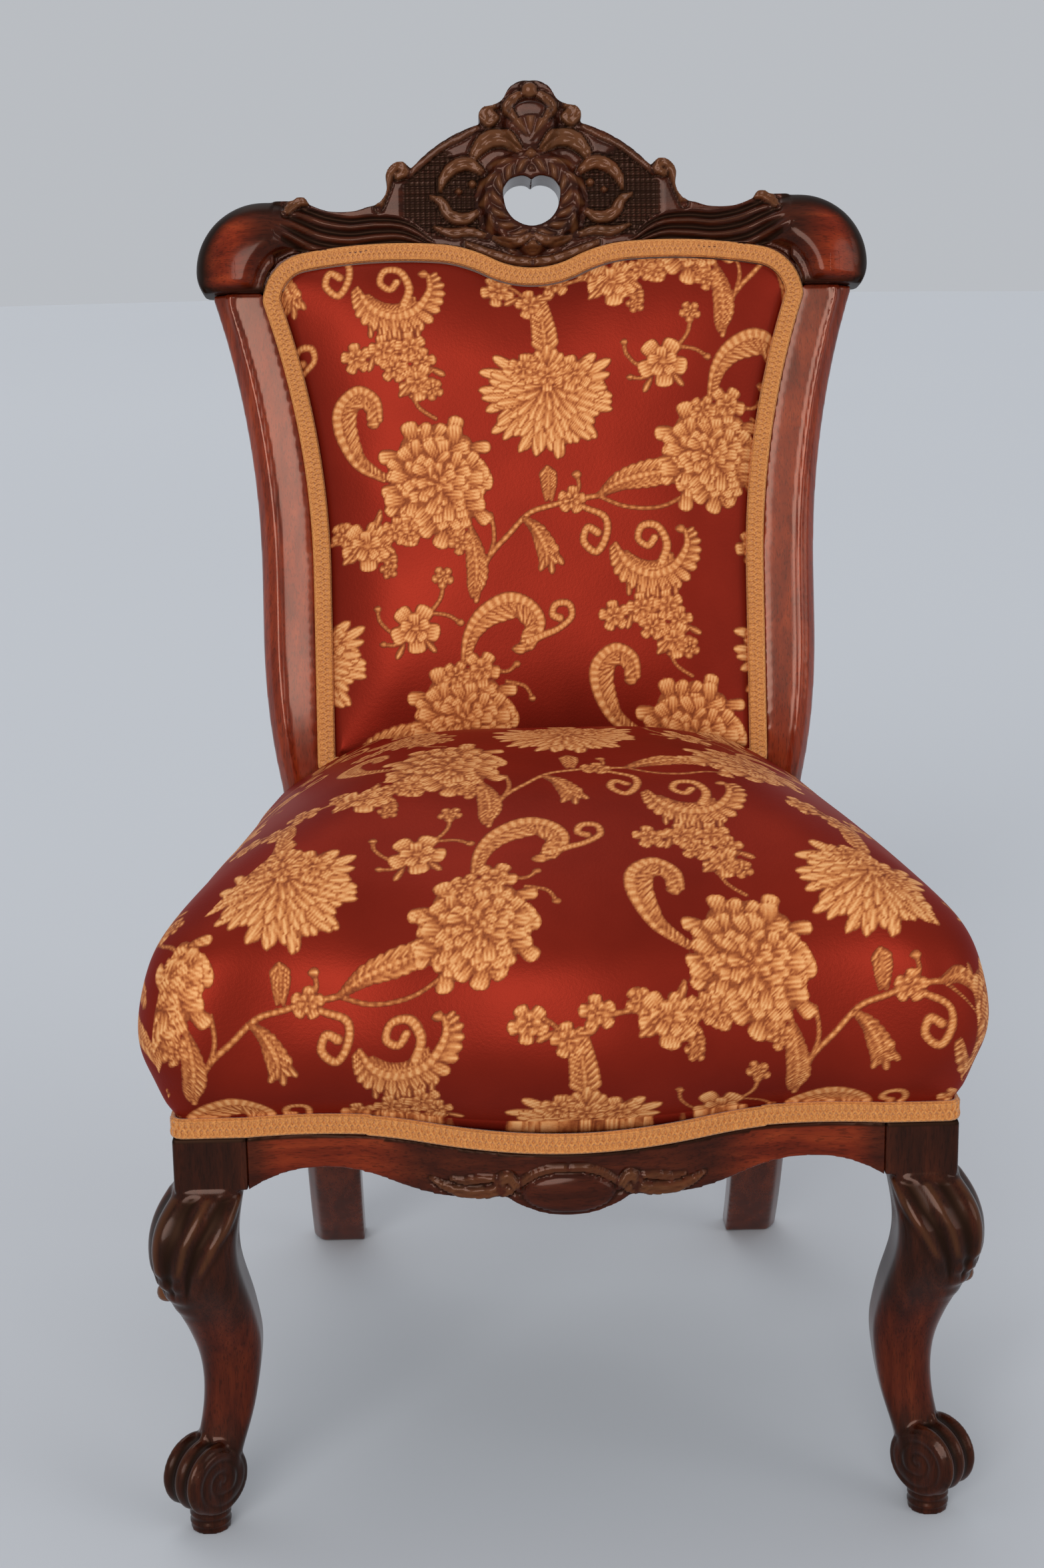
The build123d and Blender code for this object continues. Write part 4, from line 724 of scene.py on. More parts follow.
def along(line, count):
    """Evenly spaced points along a polyline."""
    line = np.asarray(line, float)
    length = np.concatenate([[0], np.cumsum(np.linalg.norm(np.diff(line, axis=0), axis=1))])
    place = np.linspace(0, length[-1], count)
    return np.stack([np.interp(place, length, line[:, i]) for i in range(line.shape[1])], 1)


def ring_sides(out, behind, corner, across_count, deep_count):
    """Front, right side and rear edge of one section of the cushion."""
    side, front = FRONT_HALF + out, FRONT_Y - out
    scale = side / FRONT_HALF
    x = np.linspace(0, side - corner, 160)
    serpentine = np.stack([x, front + scale * front_bow(x / scale)], 1)
    angle = np.linspace(0, np.pi / 2, 41)
    arc = np.stack([side - corner + corner * np.sin(angle), front + corner - corner * np.cos(angle)], 1)
    bend = front + BLOCK
    taper = (FRONT_HALF - REAR_HALF) / (POST_FRONT_Y - bend)
    y_end = POST_FRONT_Y + min(behind, -0.5)
    y = np.linspace(front + corner, y_end, 160)
    ease = 14
    flank = np.stack([side - taper * ease * np.logaddexp(0, (y - bend) / ease), y], 1)
    front_half = np.concatenate([serpentine, arc[1:21]])
    side_line = np.concatenate([arc[20:], flank[1:]])
    front_line = np.concatenate([front_half[:0:-1] * (-1, 1), front_half])
    across = np.linspace(-flank[-1, 0], flank[-1, 0], across_count)
    step = np.clip((POST_INNER - 1 - np.abs(across)) / 8, 0, 1)
    step = step * step * (3 - 2 * step)
    rear_line = np.stack([across, y_end + (POST_FRONT_Y + behind - y_end) * step], 1)
    return along(front_line, across_count), along(side_line, deep_count), rear_line


print("seat frame", 2 * FRONT_HALF, "mm wide, bow of its front", round(float(-front_bow(0)), 1), "mm")

# %% Tools for a square sheet
EDGE_TUCK = 9
CORNER_LOW, CORNER_HIGH = 8, 40
CROWN_ACROSS, CROWN_DEEP = 35, 18


def fill_middle(block):
    """Fill a grid from its four edges."""
    u = np.linspace(0, 1, block.shape[1])[None, :, None]
    v = np.linspace(0, 1, block.shape[0])[:, None, None]
    south, north, west, east = block[:1].copy(), block[-1:].copy(), block[:, :1].copy(), block[:, -1:].copy()
    block[:] = (1 - v) * south + v * north + (1 - u) * west + u * east
    block -= (1 - u) * (1 - v) * south[:, :1] + u * (1 - v) * south[:, -1:]
    block -= (1 - u) * v * north[:, :1] + u * v * north[:, -1:]


def seat_sheet(step):
    """The seat cover as a square sheet: its places in space and its places on the cloth."""
    rows = smooth_rows(CUSHION_ROWS, 400)
    height = CUSHION_BASE + rows[:, 0] * (SEAT_CROWN - CUSHION_BASE)
    out = rows[:, 1] * SEAT_BULGE - rows[:, 2]
    length = np.concatenate([[0], np.cumsum(np.hypot(np.diff(height), np.diff(out)))])
    levels = 4 * int(round(length[-1] / step / 4))
    place = np.linspace(0, length[-1], levels + 1)
    height, out, behind = (np.interp(place, length, value) for value in (height, out, rows[:, 3]))
    height[0] -= EDGE_TUCK
    drop = np.maximum(length[-1] - place - (out - out[-1]), 0)
    rear_length = np.concatenate([[0], np.cumsum(np.hypot(np.diff(height), np.diff(behind)))])
    rear_drop = np.maximum(rear_length[-1] - rear_length - (behind - behind[-1]), 0)
    across = 2 * levels + 4 * int(round(CROWN_ACROSS / step)) + 1
    deep = 2 * levels + 4 * int(round(CROWN_DEEP / step)) + 1
    spot, cloth = np.zeros((deep, across, 3)), np.zeros((deep, across, 2))
    for k in range(levels + 1):
        corner = CORNER_LOW + (CORNER_HIGH - CORNER_LOW) * min(1, 10 * k / levels)
        corner *= (FRONT_HALF + out[k]) / FRONT_HALF
        front, side, rear = ring_sides(out[k], behind[k], corner, across - 2 * k, deep - 2 * k)
        near, far, left, right = k, deep - 1 - k, k, across - 1 - k
        edges = (
            ((far, slice(left, right + 1)), rear, (0, rear_drop[k])),
            ((slice(near, far + 1), right), side, (drop[k], 0)),
            ((slice(near, far + 1), left), side * (-1, 1), (-drop[k], 0)),
            ((near, slice(left, right + 1)), front, (0, -drop[k])),
        )
        for where, line, hang in edges:
            spot[where][:, :2] = line
            spot[where][:, 2] = height[k]
            cloth[where] = line + hang
    fill_middle(spot[levels:deep - levels, levels:across - levels])
    fill_middle(cloth[levels:deep - levels, levels:across - levels])
    return spot, cloth


def relax(values, free, rounds):
    """Even out a grid, each point towards its four neighbours, where it is free to move."""
    for _ in range(rounds):
        middle = (values[:-2, 1:-1] + values[2:, 1:-1] + values[1:-1, :-2] + values[1:-1, 2:]) / 4
        values[1:-1, 1:-1] += free[1:-1, 1:-1] * (middle - values[1:-1, 1:-1])
    return values

# %% Cover of the seat as a sheet
SEAT_STEP = 1.6
HELD_EDGE, HELD_REAR = 12, 95
seat_spot, seat_cloth = seat_sheet(SEAT_STEP)
deep_count, across_count = seat_spot.shape[:2]
deep_ring, across_ring = np.arange(deep_count), np.arange(across_count)
from_edge = SEAT_STEP * np.minimum(
    np.minimum(deep_ring, deep_ring[::-1])[:, None], np.minimum(across_ring, across_ring[::-1])[None, :]
)
seat_free = np.clip((from_edge - HELD_EDGE) / 20, 0, 1) * np.clip((HELD_REAR - seat_spot[..., 1]) / 40, 0, 1)
seat_spot = relax(seat_spot, seat_free[..., None], int(150 / SEAT_STEP**2))
print("seat sheet", seat_spot.shape)

# %% Blowing a sheet up
CLOTH_FRAMES = 20
COARSE = 4  # the cloth runs on every fourth point of a sheet, and refine() twice brings the others back


def refine(values):
    """Put a point between each two points of a grid, both ways, on a smooth curve."""
    for axis in (0, 1):
        values = np.moveaxis(values, axis, 0)
        wider = np.concatenate([values[:1], values, values[-1:]])
        finer = np.empty((2 * len(values) - 1, *values.shape[1:]))
        finer[::2] = values
        finer[1::2] = (9 * (wider[1:-2] + wider[2:-1]) - wider[:-3] - wider[3:]) / 16
        values = np.moveaxis(finer, 0, axis)
    return values


def inflate(name, spot, held, pressure, most):
    """Blow up a sheet that is held at some points; gives how far each point moves, at most a set length."""
    rows, columns = spot.shape[:2]
    mesh = bpy.data.meshes.new(name)
    mesh.from_pydata((spot.reshape(-1, 3) / 1000).tolist(), [], grid_faces(rows, columns).tolist())
    sheet = bpy.data.objects.new(name, mesh)
    scene.collection.objects.link(sheet)
    sheet.vertex_groups.new(name="held").add(np.flatnonzero(held).tolist(), 1.0, "REPLACE")
    cloth = sheet.modifiers.new("cloth", "CLOTH")
    cloth.settings.vertex_group_mass = "held"
    cloth.settings.use_pressure = True
    cloth.settings.uniform_pressure_force = pressure
    cloth.settings.effector_weights.gravity = 0
    cloth.collision_settings.use_collision = False
    cloth.point_cache.frame_end = CLOTH_FRAMES
    for step in range(1, CLOTH_FRAMES + 1):
        scene.frame_set(step)
    moved = np.empty(rows * columns * 3, np.float32)
    sheet.evaluated_get(bpy.context.evaluated_depsgraph_get()).data.vertices.foreach_get("co", moved)
    scene.frame_set(1)
    bpy.data.objects.remove(sheet)
    shift = moved.reshape(spot.shape) * 1000 - spot
    size = np.linalg.norm(shift, axis=2, keepdims=True)
    shift = shift * np.minimum(1, most / np.maximum(size, 1e-6))
    return relax(shift, 1.0 - held[..., None], 8)


# %% [markdown]
# The satin is a glossy dark red with a metallic sheen, the gold thread duller and paler. Two numbers on each
# vertex, from the drawn repeat, say where the gold is and how light. Fine noise frays the edge of each motif
# as threads do, and flecks the gold.

# %% Damask material
damask, damask_tree, damask_shader = new_material("damask")
cloth_place = own_place(damask_tree)
fray = noise(damask_tree, cloth_place, 900.0, 2.0)
frayed = math_node(damask_tree, "MULTIPLY_ADD", fray, 1.6, read(damask_tree, "gold"))
gold_mask = map_range(damask_tree, frayed, -0.1, 0.9, interpolation_type="SMOOTHSTEP")
fleck = noise(damask_tree, cloth_place, 420.0, 3.0, Roughness=0.7)
flecked = math_node(damask_tree, "MULTIPLY_ADD", fleck, 0.5, read(damask_tree, "tone"))
thread_gold = colour_ramp(
    damask_tree,
    math_node(damask_tree, "MULTIPLY", flecked, 0.72),
    (
        (0.18, (0.15, 0.028, 0.010)),
        (0.42, (0.34, 0.092, 0.026)),
        (0.66, (0.58, 0.215, 0.066)),
        (0.92, (0.78, 0.40, 0.16)),
    ),
)
shade = noise(damask_tree, cloth_place, 14.0, 3.0)
satin = colour_ramp(damask_tree, shade, ((0.3, (0.180, 0.0125, 0.0060)), (0.7, (0.230, 0.0170, 0.0080))))
relief = math_node(damask_tree, "MULTIPLY_ADD", gold_mask, 0.6, fleck)
feed(
    damask_tree,
    damask_shader,
    Base_Color=mix_colour(damask_tree, gold_mask, satin, thread_gold),
    Roughness=map_range(damask_tree, gold_mask, 0, 1, To_Min=0.46, To_Max=0.62),
    Metallic=map_range(damask_tree, gold_mask, 0, 1, To_Min=0.55, To_Max=0.1),
    Normal=bumped(damask_tree, relief, 0.35, 0.0005),
    Specular_IOR_Level=0.3,
    Specular_Tint=(1.0, 0.30, 0.20, 1),
)
print("damask", len(damask_tree.nodes), "nodes")

# %% Seat cushion piece
seat_held = seat_free[::COARSE, ::COARSE] == 0
seat_shift = inflate("seat_sheet", seat_spot[::COARSE, ::COARSE], seat_held, pressure=4.0, most=5.0)
seat_spot = seat_spot + relax(refine(refine(seat_shift)), (seat_free > 0)[..., None], 30)
UNDER_RINGS = ((331, -6, -2), (331, -30, -6), (388, -46, -24), (405, -71, -48))
points = [seat_spot.reshape(-1, 3)]
faces = [grid_faces(deep_count, across_count).tolist()]
previous = rim_loop(deep_count, across_count)
total = deep_count * across_count
for height, out, behind in UNDER_RINGS:
    front, side, rear = ring_sides(out, behind, CORNER_LOW, across_count, deep_count)
    ring = np.concatenate([front[:-1], side[:-1], rear[:0:-1], (side * (-1, 1))[:0:-1]])
    points.append(np.column_stack([ring, np.full(len(ring), height)]))
    current = total + np.arange(len(ring))
    band = np.stack([current, np.roll(current, -1), np.roll(previous, -1), previous], 1)
    faces.append(band.tolist())
    previous = current
    total += len(ring)
faces.append([previous[::-1].tolist()])
seat_piece = make_piece("seat_cushion", np.concatenate(points), sum(faces, []), damask)
SEAT_PATTERN_X, SEAT_PATTERN_Y = 197, 139
lay_damask(
    seat_piece,
    seat_cloth[..., 0] + SEAT_PATTERN_X,
    seat_cloth[..., 1] + SEAT_PATTERN_Y,
    under=total - deep_count * across_count,
)
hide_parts("seat_cover", "seat_stuffing")

# %% [markdown]
# ## Back pad
# The padded back lies in the leaning plane of the stiles. Its outline dips in the middle of its top edge and
# narrows to a waist. The cover is again one grid, stretched between the four sides of that outline, and it
# rises quickly from the gimp to a soft flat crown.

# %% Back plane and panel outline
LEAN = math.radians(13.6)
BEND_Z, JOINT_Z = 468, 819
JOINT_Y = POST_FRONT_Y + (JOINT_Z - BEND_Z) * math.tan(LEAN)
PANEL_DROP = 385
PANEL_WAIST, PANEL_WAIST_Z = 180, 600
# The top edge: place across, rise, and how much of an inset moves the point inward
PANEL_TOP = ((0, 16.5, 0), (36, 25, 0.1), (78, 36.5, 0.25), (188, 31, 0.9), (216, 0, 1))


def on_back(across, rise, lift):
    """Points given in the leaning plane of the back: across, up the slope, and out to the front."""
    across, rise, lift = np.broadcast_arrays(across, rise, lift)
    return np.stack(
        [
            across,
            JOINT_Y + rise * math.sin(LEAN) - lift * math.cos(LEAN),
            JOINT_Z + rise * math.cos(LEAN) + lift * math.sin(LEAN),
        ],
        -1,
    )


def tangent_arc(start, end, angle, count=40):
    """Points on the arc that leaves start at an angle and ends at end; gives the end angle too."""
    chord = math.hypot(end[0] - start[0], end[1] - start[1])
    turn = math.atan2(end[1] - start[1], end[0] - start[0]) - angle
    radius = chord / (2 * math.sin(turn))
    way = angle + 2 * turn * np.linspace(0, 1, count)
    x = start[0] + radius * (np.sin(way) - math.sin(angle))
    y = start[1] + radius * (math.cos(angle) - np.cos(way))
    return np.stack([x, y], 1), angle + 2 * turn


def panel_half(inset):
    """Right half of the panel's outline: its top edge, from the middle outward, and its side, upward."""
    bottom = inset - PANEL_DROP
    waist = (PANEL_WAIST - inset, (PANEL_WAIST_Z - JOINT_Z) / math.cos(LEAN))
    middle, dip, *others = ((x - share * inset, rise - inset) for x, rise, share in PANEL_TOP)
    arc, angle = tangent_arc(middle, dip, 0)
    top = [arc]
    for end in others:
        arc, angle = tangent_arc(top[-1][-1], end, angle)
        top.append(arc[1:])
    flare, _ = tangent_arc(waist, others[-1], math.pi / 2)
    side = np.concatenate([[(waist[0], bottom)], flare])
    return np.concatenate(top), side


def panel_grid(inset, across_count, high_count):
    """A flat grid over the panel, with its upper corners at the top's bends, and the panel's outline."""
    top, side = panel_half(inset)
    bend = len(top) - 20
    side = np.concatenate([side, top[:bend - 1:-1]])
    top = top[:bend + 1]
    bottom = along([(-side[0, 0], side[0, 1]), side[0]], across_count)
    top = along(np.concatenate([top[:0:-1] * (-1, 1), top]), across_count)
    side = along(side, high_count)
    flat = np.zeros((high_count, across_count, 2))
    flat[:, 0] = side * (-1, 1)
    flat[:, -1] = side
    flat[0], flat[-1] = bottom, top
    fill_middle(flat)
    return flat, np.concatenate([bottom, side, top[::-1], (side * (-1, 1))[::-1]])


print("back leans", round(math.degrees(LEAN), 1), "degrees, joint at", round(JOINT_Y, 1), JOINT_Z)

# %% Back pad sheet
PAD_RISE = ((0, -5.0), (9, -2.2), (12, 4.5), (20, 12.9), (37, 18.6), (65, 22.0), (110, 24.0), (190, 25.0))
PAD_EDGE = 12
pad_step = 1.3
pad_across, pad_high = 4 * int(90 / pad_step) + 1, 4 * int(102 / pad_step) + 1
pad_flat, pad_outline = panel_grid(5, pad_across, pad_high)
depth = np.empty(pad_flat.shape[:2])
for row, flat in zip(depth, pad_flat):
    row[:] = np.sqrt(((flat[:, None] - pad_outline[None]) ** 2).sum(2).min(1))
pad_rise = smooth_rows(np.array(PAD_RISE), 300)
pad_lift = np.interp(depth, pad_rise[:, 0], pad_rise[:, 1])[..., None]
pad_lift = relax(pad_lift, np.clip((depth - 14) / 20, 0, 1)[..., None], int(700 / pad_step**2))[..., 0]
pad_spot = on_back(pad_flat[..., 0], pad_flat[..., 1], pad_lift)
pad_held = depth[::COARSE, ::COARSE] < PAD_EDGE
pad_shift = inflate("back_sheet", pad_spot[::COARSE, ::COARSE], pad_held, pressure=4.0, most=3.0)
pad_spot = pad_spot + relax(refine(refine(pad_shift)), (depth > PAD_EDGE)[..., None], 60)
pad_faces = grid_faces(pad_high, pad_across).tolist()
pad_faces.append(rim_loop(pad_high, pad_across)[::-1].tolist())
back_pad = make_piece("back_pad", pad_spot.reshape(-1, 3), pad_faces, damask)
lay_damask(back_pad, pad_flat[..., 0], pad_flat[..., 1])
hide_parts("back_cover", "back_stuffing")

# %% [markdown]
# ## Flat sheets
# The back of the chair is closed with the same damask, stretched between the stiles and edged with a narrower
# gimp. Under the seat a black calico dust cover hides the webbing: it is tacked along the rails with its edge
# turned in, and sags a little between them. Each is a thin closed sheet, two layers of one grid.

# %% Sheet helper


def sheet_piece(name, front, rear, material):
    """A thin closed sheet from the grids of its two sides."""
    rows, columns = front.shape[:2]
    count = rows * columns
    loop = rim_loop(rows, columns)
    grid = grid_faces(rows, columns)
    edge = np.stack([loop, loop + count, np.roll(loop, -1) + count, np.roll(loop, -1)], 1)
    points = np.concatenate([front.reshape(-1, 3), rear.reshape(-1, 3)])
    faces = np.concatenate([grid, grid[:, ::-1] + count, edge]).tolist()
    return make_piece(name, points, faces, material)


# %% Outer back sheet
outer_across, outer_high = ((201, 231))
OUTER_INNER, OUTER_OUTER = -31.3, -32.7
OUTER_PATTERN_X, OUTER_PATTERN_Y = 61, 40
outer_flat, outer_outline = panel_grid(4, outer_across, outer_high)
outer_back = sheet_piece(
    "outer_back",
    on_back(outer_flat[..., 0], outer_flat[..., 1], OUTER_INNER),
    on_back(outer_flat[..., 0], outer_flat[..., 1], OUTER_OUTER),
    damask,
)
lay_damask(outer_back, OUTER_PATTERN_X - outer_flat[..., 0], outer_flat[..., 1] + OUTER_PATTERN_Y, sides=2)
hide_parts("outer_back_cover")

# %% Dust cover sheet
DUST_FRONT, DUST_REAR = -238.4, 168.1
DUST_TOP, DUST_UNDER = 268.0, 267.2
DUST_SAG, DUST_HEM, HEM_WIDE = 4.0, 0.5, 11
DUST_MIDDLE, DUST_HALF = -35, 203.3
dust_edge = np.array(
    ((214, DUST_FRONT), (214, -203.4), (257, -202.4), (198.2, 144.6), (157, 145.6), (157, DUST_REAR))
)
dust_y = np.unique(np.concatenate([np.linspace(DUST_FRONT, DUST_REAR, 80), dust_edge[:, 1]]))
dust_half = np.interp(dust_y, dust_edge[:, 1], dust_edge[:, 0])
dust_u = np.linspace(-1, 1, 81)
dust_x = dust_half[:, None] * dust_u[None, :]
dust_v = (dust_y - DUST_MIDDLE) / DUST_HALF
dust_turn = np.minimum(
    dust_half[:, None] * (1 - np.abs(dust_u)), np.minimum(dust_y - DUST_FRONT, DUST_REAR - dust_y)[:, None]
)
dust_sag = DUST_SAG * np.clip(1 - dust_u**2, 0, 1)[None, :] * np.clip(1 - dust_v**2, 0, 1)[:, None]
dust_sag = dust_sag + DUST_HEM * (1 - np.clip((dust_turn - HEM_WIDE) / 2, 0, 1))
dust_deep = np.broadcast_to(dust_y[:, None], dust_x.shape)
dust_cover = sheet_piece(
    "dust_cover_sheet",
    np.stack([dust_x, dust_deep, DUST_TOP - dust_sag], -1),
    np.stack([dust_x, dust_deep, DUST_UNDER - dust_sag], -1),
    calico,
)
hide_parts("dust_cover")

# %% [markdown]
# ## Gimp
# A gold braid covers the tacks along the edges of the seat, the inside back and the outer back. Each run is
# a soft band with a braid of small loops on it. The loops repeat along a path, so Geometry Nodes place them:
# the path is resampled at the braid's pitch, and each loop turns with the path and faces outward.

# %% Gimp material
gimp, gimp_tree, gimp_shader = new_material("gimp_braid")
gimp_fleck = noise(gimp_tree, own_place(gimp_tree), 650.0, 3.0, Roughness=0.7)
gimp_stops = ((0.25, (0.33, 0.100, 0.016)), (0.5, (0.54, 0.195, 0.032)), (0.75, (0.70, 0.295, 0.070)))
feed(
    gimp_tree,
    gimp_shader,
    Base_Color=colour_ramp(gimp_tree, gimp_fleck, gimp_stops),
    Roughness=0.62,
    Sheen_Weight=0.25,
    Normal=bumped(gimp_tree, gimp_fleck, 0.5, 0.0004),
)
print("gimp", len(gimp_tree.nodes), "nodes")

# %% Braid tree
braid = bpy.data.node_groups.new("gimp_braid", "GeometryNodeTree")
braid_sockets = {}
for label, way, kind in (
    ("Path", "INPUT", "NodeSocketGeometry"),
    ("Loop", "INPUT", "NodeSocketObject"),
    ("Pitch", "INPUT", "NodeSocketFloat"),
    ("Finish", "INPUT", "NodeSocketMaterial"),
    ("Braid", "OUTPUT", "NodeSocketGeometry"),
):
    braid_sockets[label] = braid.interface.new_socket(label, in_out=way, socket_type=kind).identifier
braid_in, braid_out = braid.nodes.new("NodeGroupInput"), braid.nodes.new("NodeGroupOutput")
to_curve = add_node(braid, "GeometryNodeMeshToCurve", Mesh=braid_in.outputs["Path"])
resample = add_node(braid, "GeometryNodeResampleCurve", mode="LENGTH")
feed(braid, resample, Curve=to_curve.outputs["Curve"], Length=braid_in.outputs["Pitch"])
outward_kept = add_node(braid, "GeometryNodeInputNamedAttribute", data_type="FLOAT_VECTOR", Name="outward")
tangent = add_node(braid, "GeometryNodeInputTangent")
loop_turn = add_node(braid, "FunctionNodeAxesToRotation", primary_axis="Z", secondary_axis="X")
feed(
    braid,
    loop_turn,
    Primary_Axis=outward_kept.outputs["Attribute"],
    Secondary_Axis=tangent.outputs["Tangent"],
)
loop_shape = add_node(braid, "GeometryNodeObjectInfo", Object=braid_in.outputs["Loop"])
place_loops = add_node(
    braid,
    "GeometryNodeInstanceOnPoints",
    Points=resample.outputs["Curve"],
    Instance=loop_shape.outputs["Geometry"],
    Rotation=loop_turn.outputs["Rotation"],
)
realize = add_node(braid, "GeometryNodeRealizeInstances", Geometry=place_loops.outputs["Instances"])
finish = add_node(braid, "GeometryNodeSetMaterial", Geometry=realize.outputs["Geometry"])
feed(braid, finish, Material=braid_in.outputs["Finish"])
feed(braid, braid_out, Braid=finish.outputs["Geometry"])
print("braid tree", len(braid.nodes), "nodes")

# %% Gimp tools


def tube_faces(count, sides, closed):
    """Faces of a tube whose rings of points are stored one after another; an open tube gets two ends."""
    faces = []
    for i in range(count if closed else count - 1):
        here, there = i * sides, (i + 1) % count * sides
        for j in range(sides):
            k = (j + 1) % sides
            faces.append((here + j, here + k, there + k, there + j))
    if not closed:
        faces.append(tuple(range(sides))[::-1])
        faces.append(tuple((count - 1) * sides + j for j in range(sides)))
    return faces


def cord_mesh(name, line, radius, sides):
    """A thin closed cord along a line that lies in the XY plane."""
    line = np.asarray(line, float)
    way = np.gradient(line, axis=0)
    way /= np.linalg.norm(way, axis=1, keepdims=True)
    across = np.stack([-way[:, 1], way[:, 0], np.zeros(len(way))], 1)
    angle = np.arange(sides) * 2 * np.pi / sides
    rings = line[:, None] + radius * (
        np.cos(angle)[None, :, None] * across[:, None] + np.sin(angle)[None, :, None] * np.array((0, 0, 1))
    )
    mesh = bpy.data.meshes.new(name)
    mesh.from_pydata((rings.reshape(-1, 3) / 1000).tolist(), [], tube_faces(len(line), sides, False))
    mesh.polygons.foreach_set("use_smooth", np.ones(len(mesh.polygons), bool))
    return mesh


# %% One run of gimp
# Sizes of a loop as shares of half the gimp's width
LOOP_SWING, LOOP_STEP, LOOP_HIGH, CORD_RADIUS, LOOP_PITCH = 0.36, 0.30, 0.80, 0.17, 0.60


def gimp_run(name, path, outward, width, thick, closed, node):
    """One run of gimp: its band, and the braid that Geometry Nodes lay on it."""
    path, outward = np.asarray(path, float), np.asarray(outward, float)
    if closed:
        way = np.roll(path, -1, 0) - np.roll(path, 1, 0)
    else:
        way = np.gradient(path, axis=0)
    way /= np.linalg.norm(way, axis=1, keepdims=True)
    rise = np.cross(outward, way)
    half = width / 2
    section = (
        (-half, -thick), (-half, 0.1), (-0.62 * half, 0.9), (-0.2 * half, 0.3),
        (0.2 * half, 0.3), (0.62 * half, 0.9), (half, 0.1), (half, -thick),
    )
    rings = np.stack([path + u * rise + w * outward for u, w in section], 1)
    count = len(path)
    faces = tube_faces(count, len(section), closed)
    band = make_piece(name, rings.reshape(-1, 3), faces, gimp)
    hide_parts(node)
    line_mesh = bpy.data.meshes.new(name + "_path")
    edges = [(i, (i + 1) % count) for i in range(count if closed else count - 1)]
    line_mesh.from_pydata(((path + 0.5 * outward) / 1000).tolist(), edges, [])
    kept = line_mesh.attributes.new("outward", "FLOAT_VECTOR", "POINT")
    kept.data.foreach_set("vector", outward.astype(np.float32).ravel())
    loops = bpy.data.objects.new(name + "_loops", line_mesh)
    scene.collection.objects.link(loops)
    turns = np.linspace(0, 2 * np.pi, 15)
    forward = LOOP_SWING * half * np.sin(2 * turns) + LOOP_STEP * half * turns / np.pi
    swing = np.stack([forward - forward.mean(), LOOP_HIGH * half * np.cos(turns), turns * 0], 1)
    loop = bpy.data.objects.new(name + "_loop", cord_mesh(name + "_loop", swing, CORD_RADIUS * half, 5))
    scene.collection.objects.link(loop)
    modifier = loops.modifiers.new("braid", "NODES")
    modifier.node_group = braid
    modifier[braid_sockets["Loop"]] = loop
    modifier[braid_sockets["Pitch"]] = LOOP_PITCH * half / 1000
    modifier[braid_sockets["Finish"]] = gimp
    evaluated = loops.evaluated_get(bpy.context.evaluated_depsgraph_get())
    plain = bpy.data.meshes.new_from_object(evaluated)
    loops.modifiers.remove(modifier)
    loops.data = plain
    bpy.data.objects.remove(loop)
    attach(loops, "root")
    print(loops.name, len(plain.polygons), "faces")


# %% Gimp runs
GIMP_WIDE, OUTER_GIMP_WIDE = 14, 12
SEAT_THICK, BACK_THICK, OUTER_THICK = 2.2, 5.5, 1.4
BACK_LIFT, OUTER_LIFT = 0.4, -34.2
front, side, _ = ring_sides(-0.4, -0.5, CORNER_LOW, 301, 221)
seat_line = np.concatenate([(side * (-1, 1))[:0:-1], front[:-1], side])
dip = SHOW_DIP * 0.5 * (1 + np.cos(np.pi * np.clip(seat_line[:, 0] / SHOW_DIP_HALF, -1, 1)))
dip = np.where(seat_line[:, 1] < FRONT_Y + 1, dip, 0)
seat_path = np.column_stack([seat_line, SHOW_TOP + GIMP_WIDE / 2 - dip])
way = np.gradient(seat_line, axis=0)
seat_outward = np.stack([way[:, 1], -way[:, 0], way[:, 0] * 0], 1)
seat_outward /= np.linalg.norm(seat_outward, axis=1, keepdims=True)
gimp_run("seat_gimp_braid", seat_path, seat_outward, GIMP_WIDE, SEAT_THICK, False, "seat_gimp")


def panel_loop(inset, count):
    """The whole outline of the panel, moved inward, as an evenly spaced loop."""
    top, side = panel_half(inset)
    right = np.concatenate([[(0, side[0, 1])], side, top[-2::-1]])
    whole = np.concatenate([right, (right * (-1, 1))[-2:0:-1]])
    return along(np.concatenate([whole, whole[:1]]), count + 1)[:-1]


LOOP_POINTS = 760
facing = np.array((0, -math.cos(LEAN), math.sin(LEAN)))
front_way = np.tile(facing, (LOOP_POINTS, 1))
back_line = panel_loop(GIMP_WIDE / 2, LOOP_POINTS)
back_path = on_back(back_line[:, 0], back_line[:, 1], BACK_LIFT)
gimp_run("back_gimp_braid", back_path, front_way, GIMP_WIDE, BACK_THICK, True, "back_gimp")
outer_line = panel_loop(OUTER_GIMP_WIDE / 2, LOOP_POINTS)[::-1]
outer_path = on_back(outer_line[:, 0], outer_line[:, 1], OUTER_LIFT)
gimp_run("outer_gimp_braid", outer_path, -front_way, OUTER_GIMP_WIDE, OUTER_THICK, True, "outer_back_gimp")

# %% [markdown]
# ## Carving
# The crest rail, the front rail and the front legs are carved. Their outlines are the CAD solids', so each
# carving starts from a copy of its solid. Sculpting could follow, but a sculpted stroke can't be written
# down. So the copy is merged, a voxel remesh gives it an even skin of small squares, a smoothing pass takes
# the steps out of it, and then each point of the skin moves by the height of the carving there: along its own
# normal on the legs, straight to the front on the rails and stiles. Drawing a carving as a height over a flat
# map keeps it to short sums: ridges along curves, domes for buds, and hollows between.

# %% Carving tools


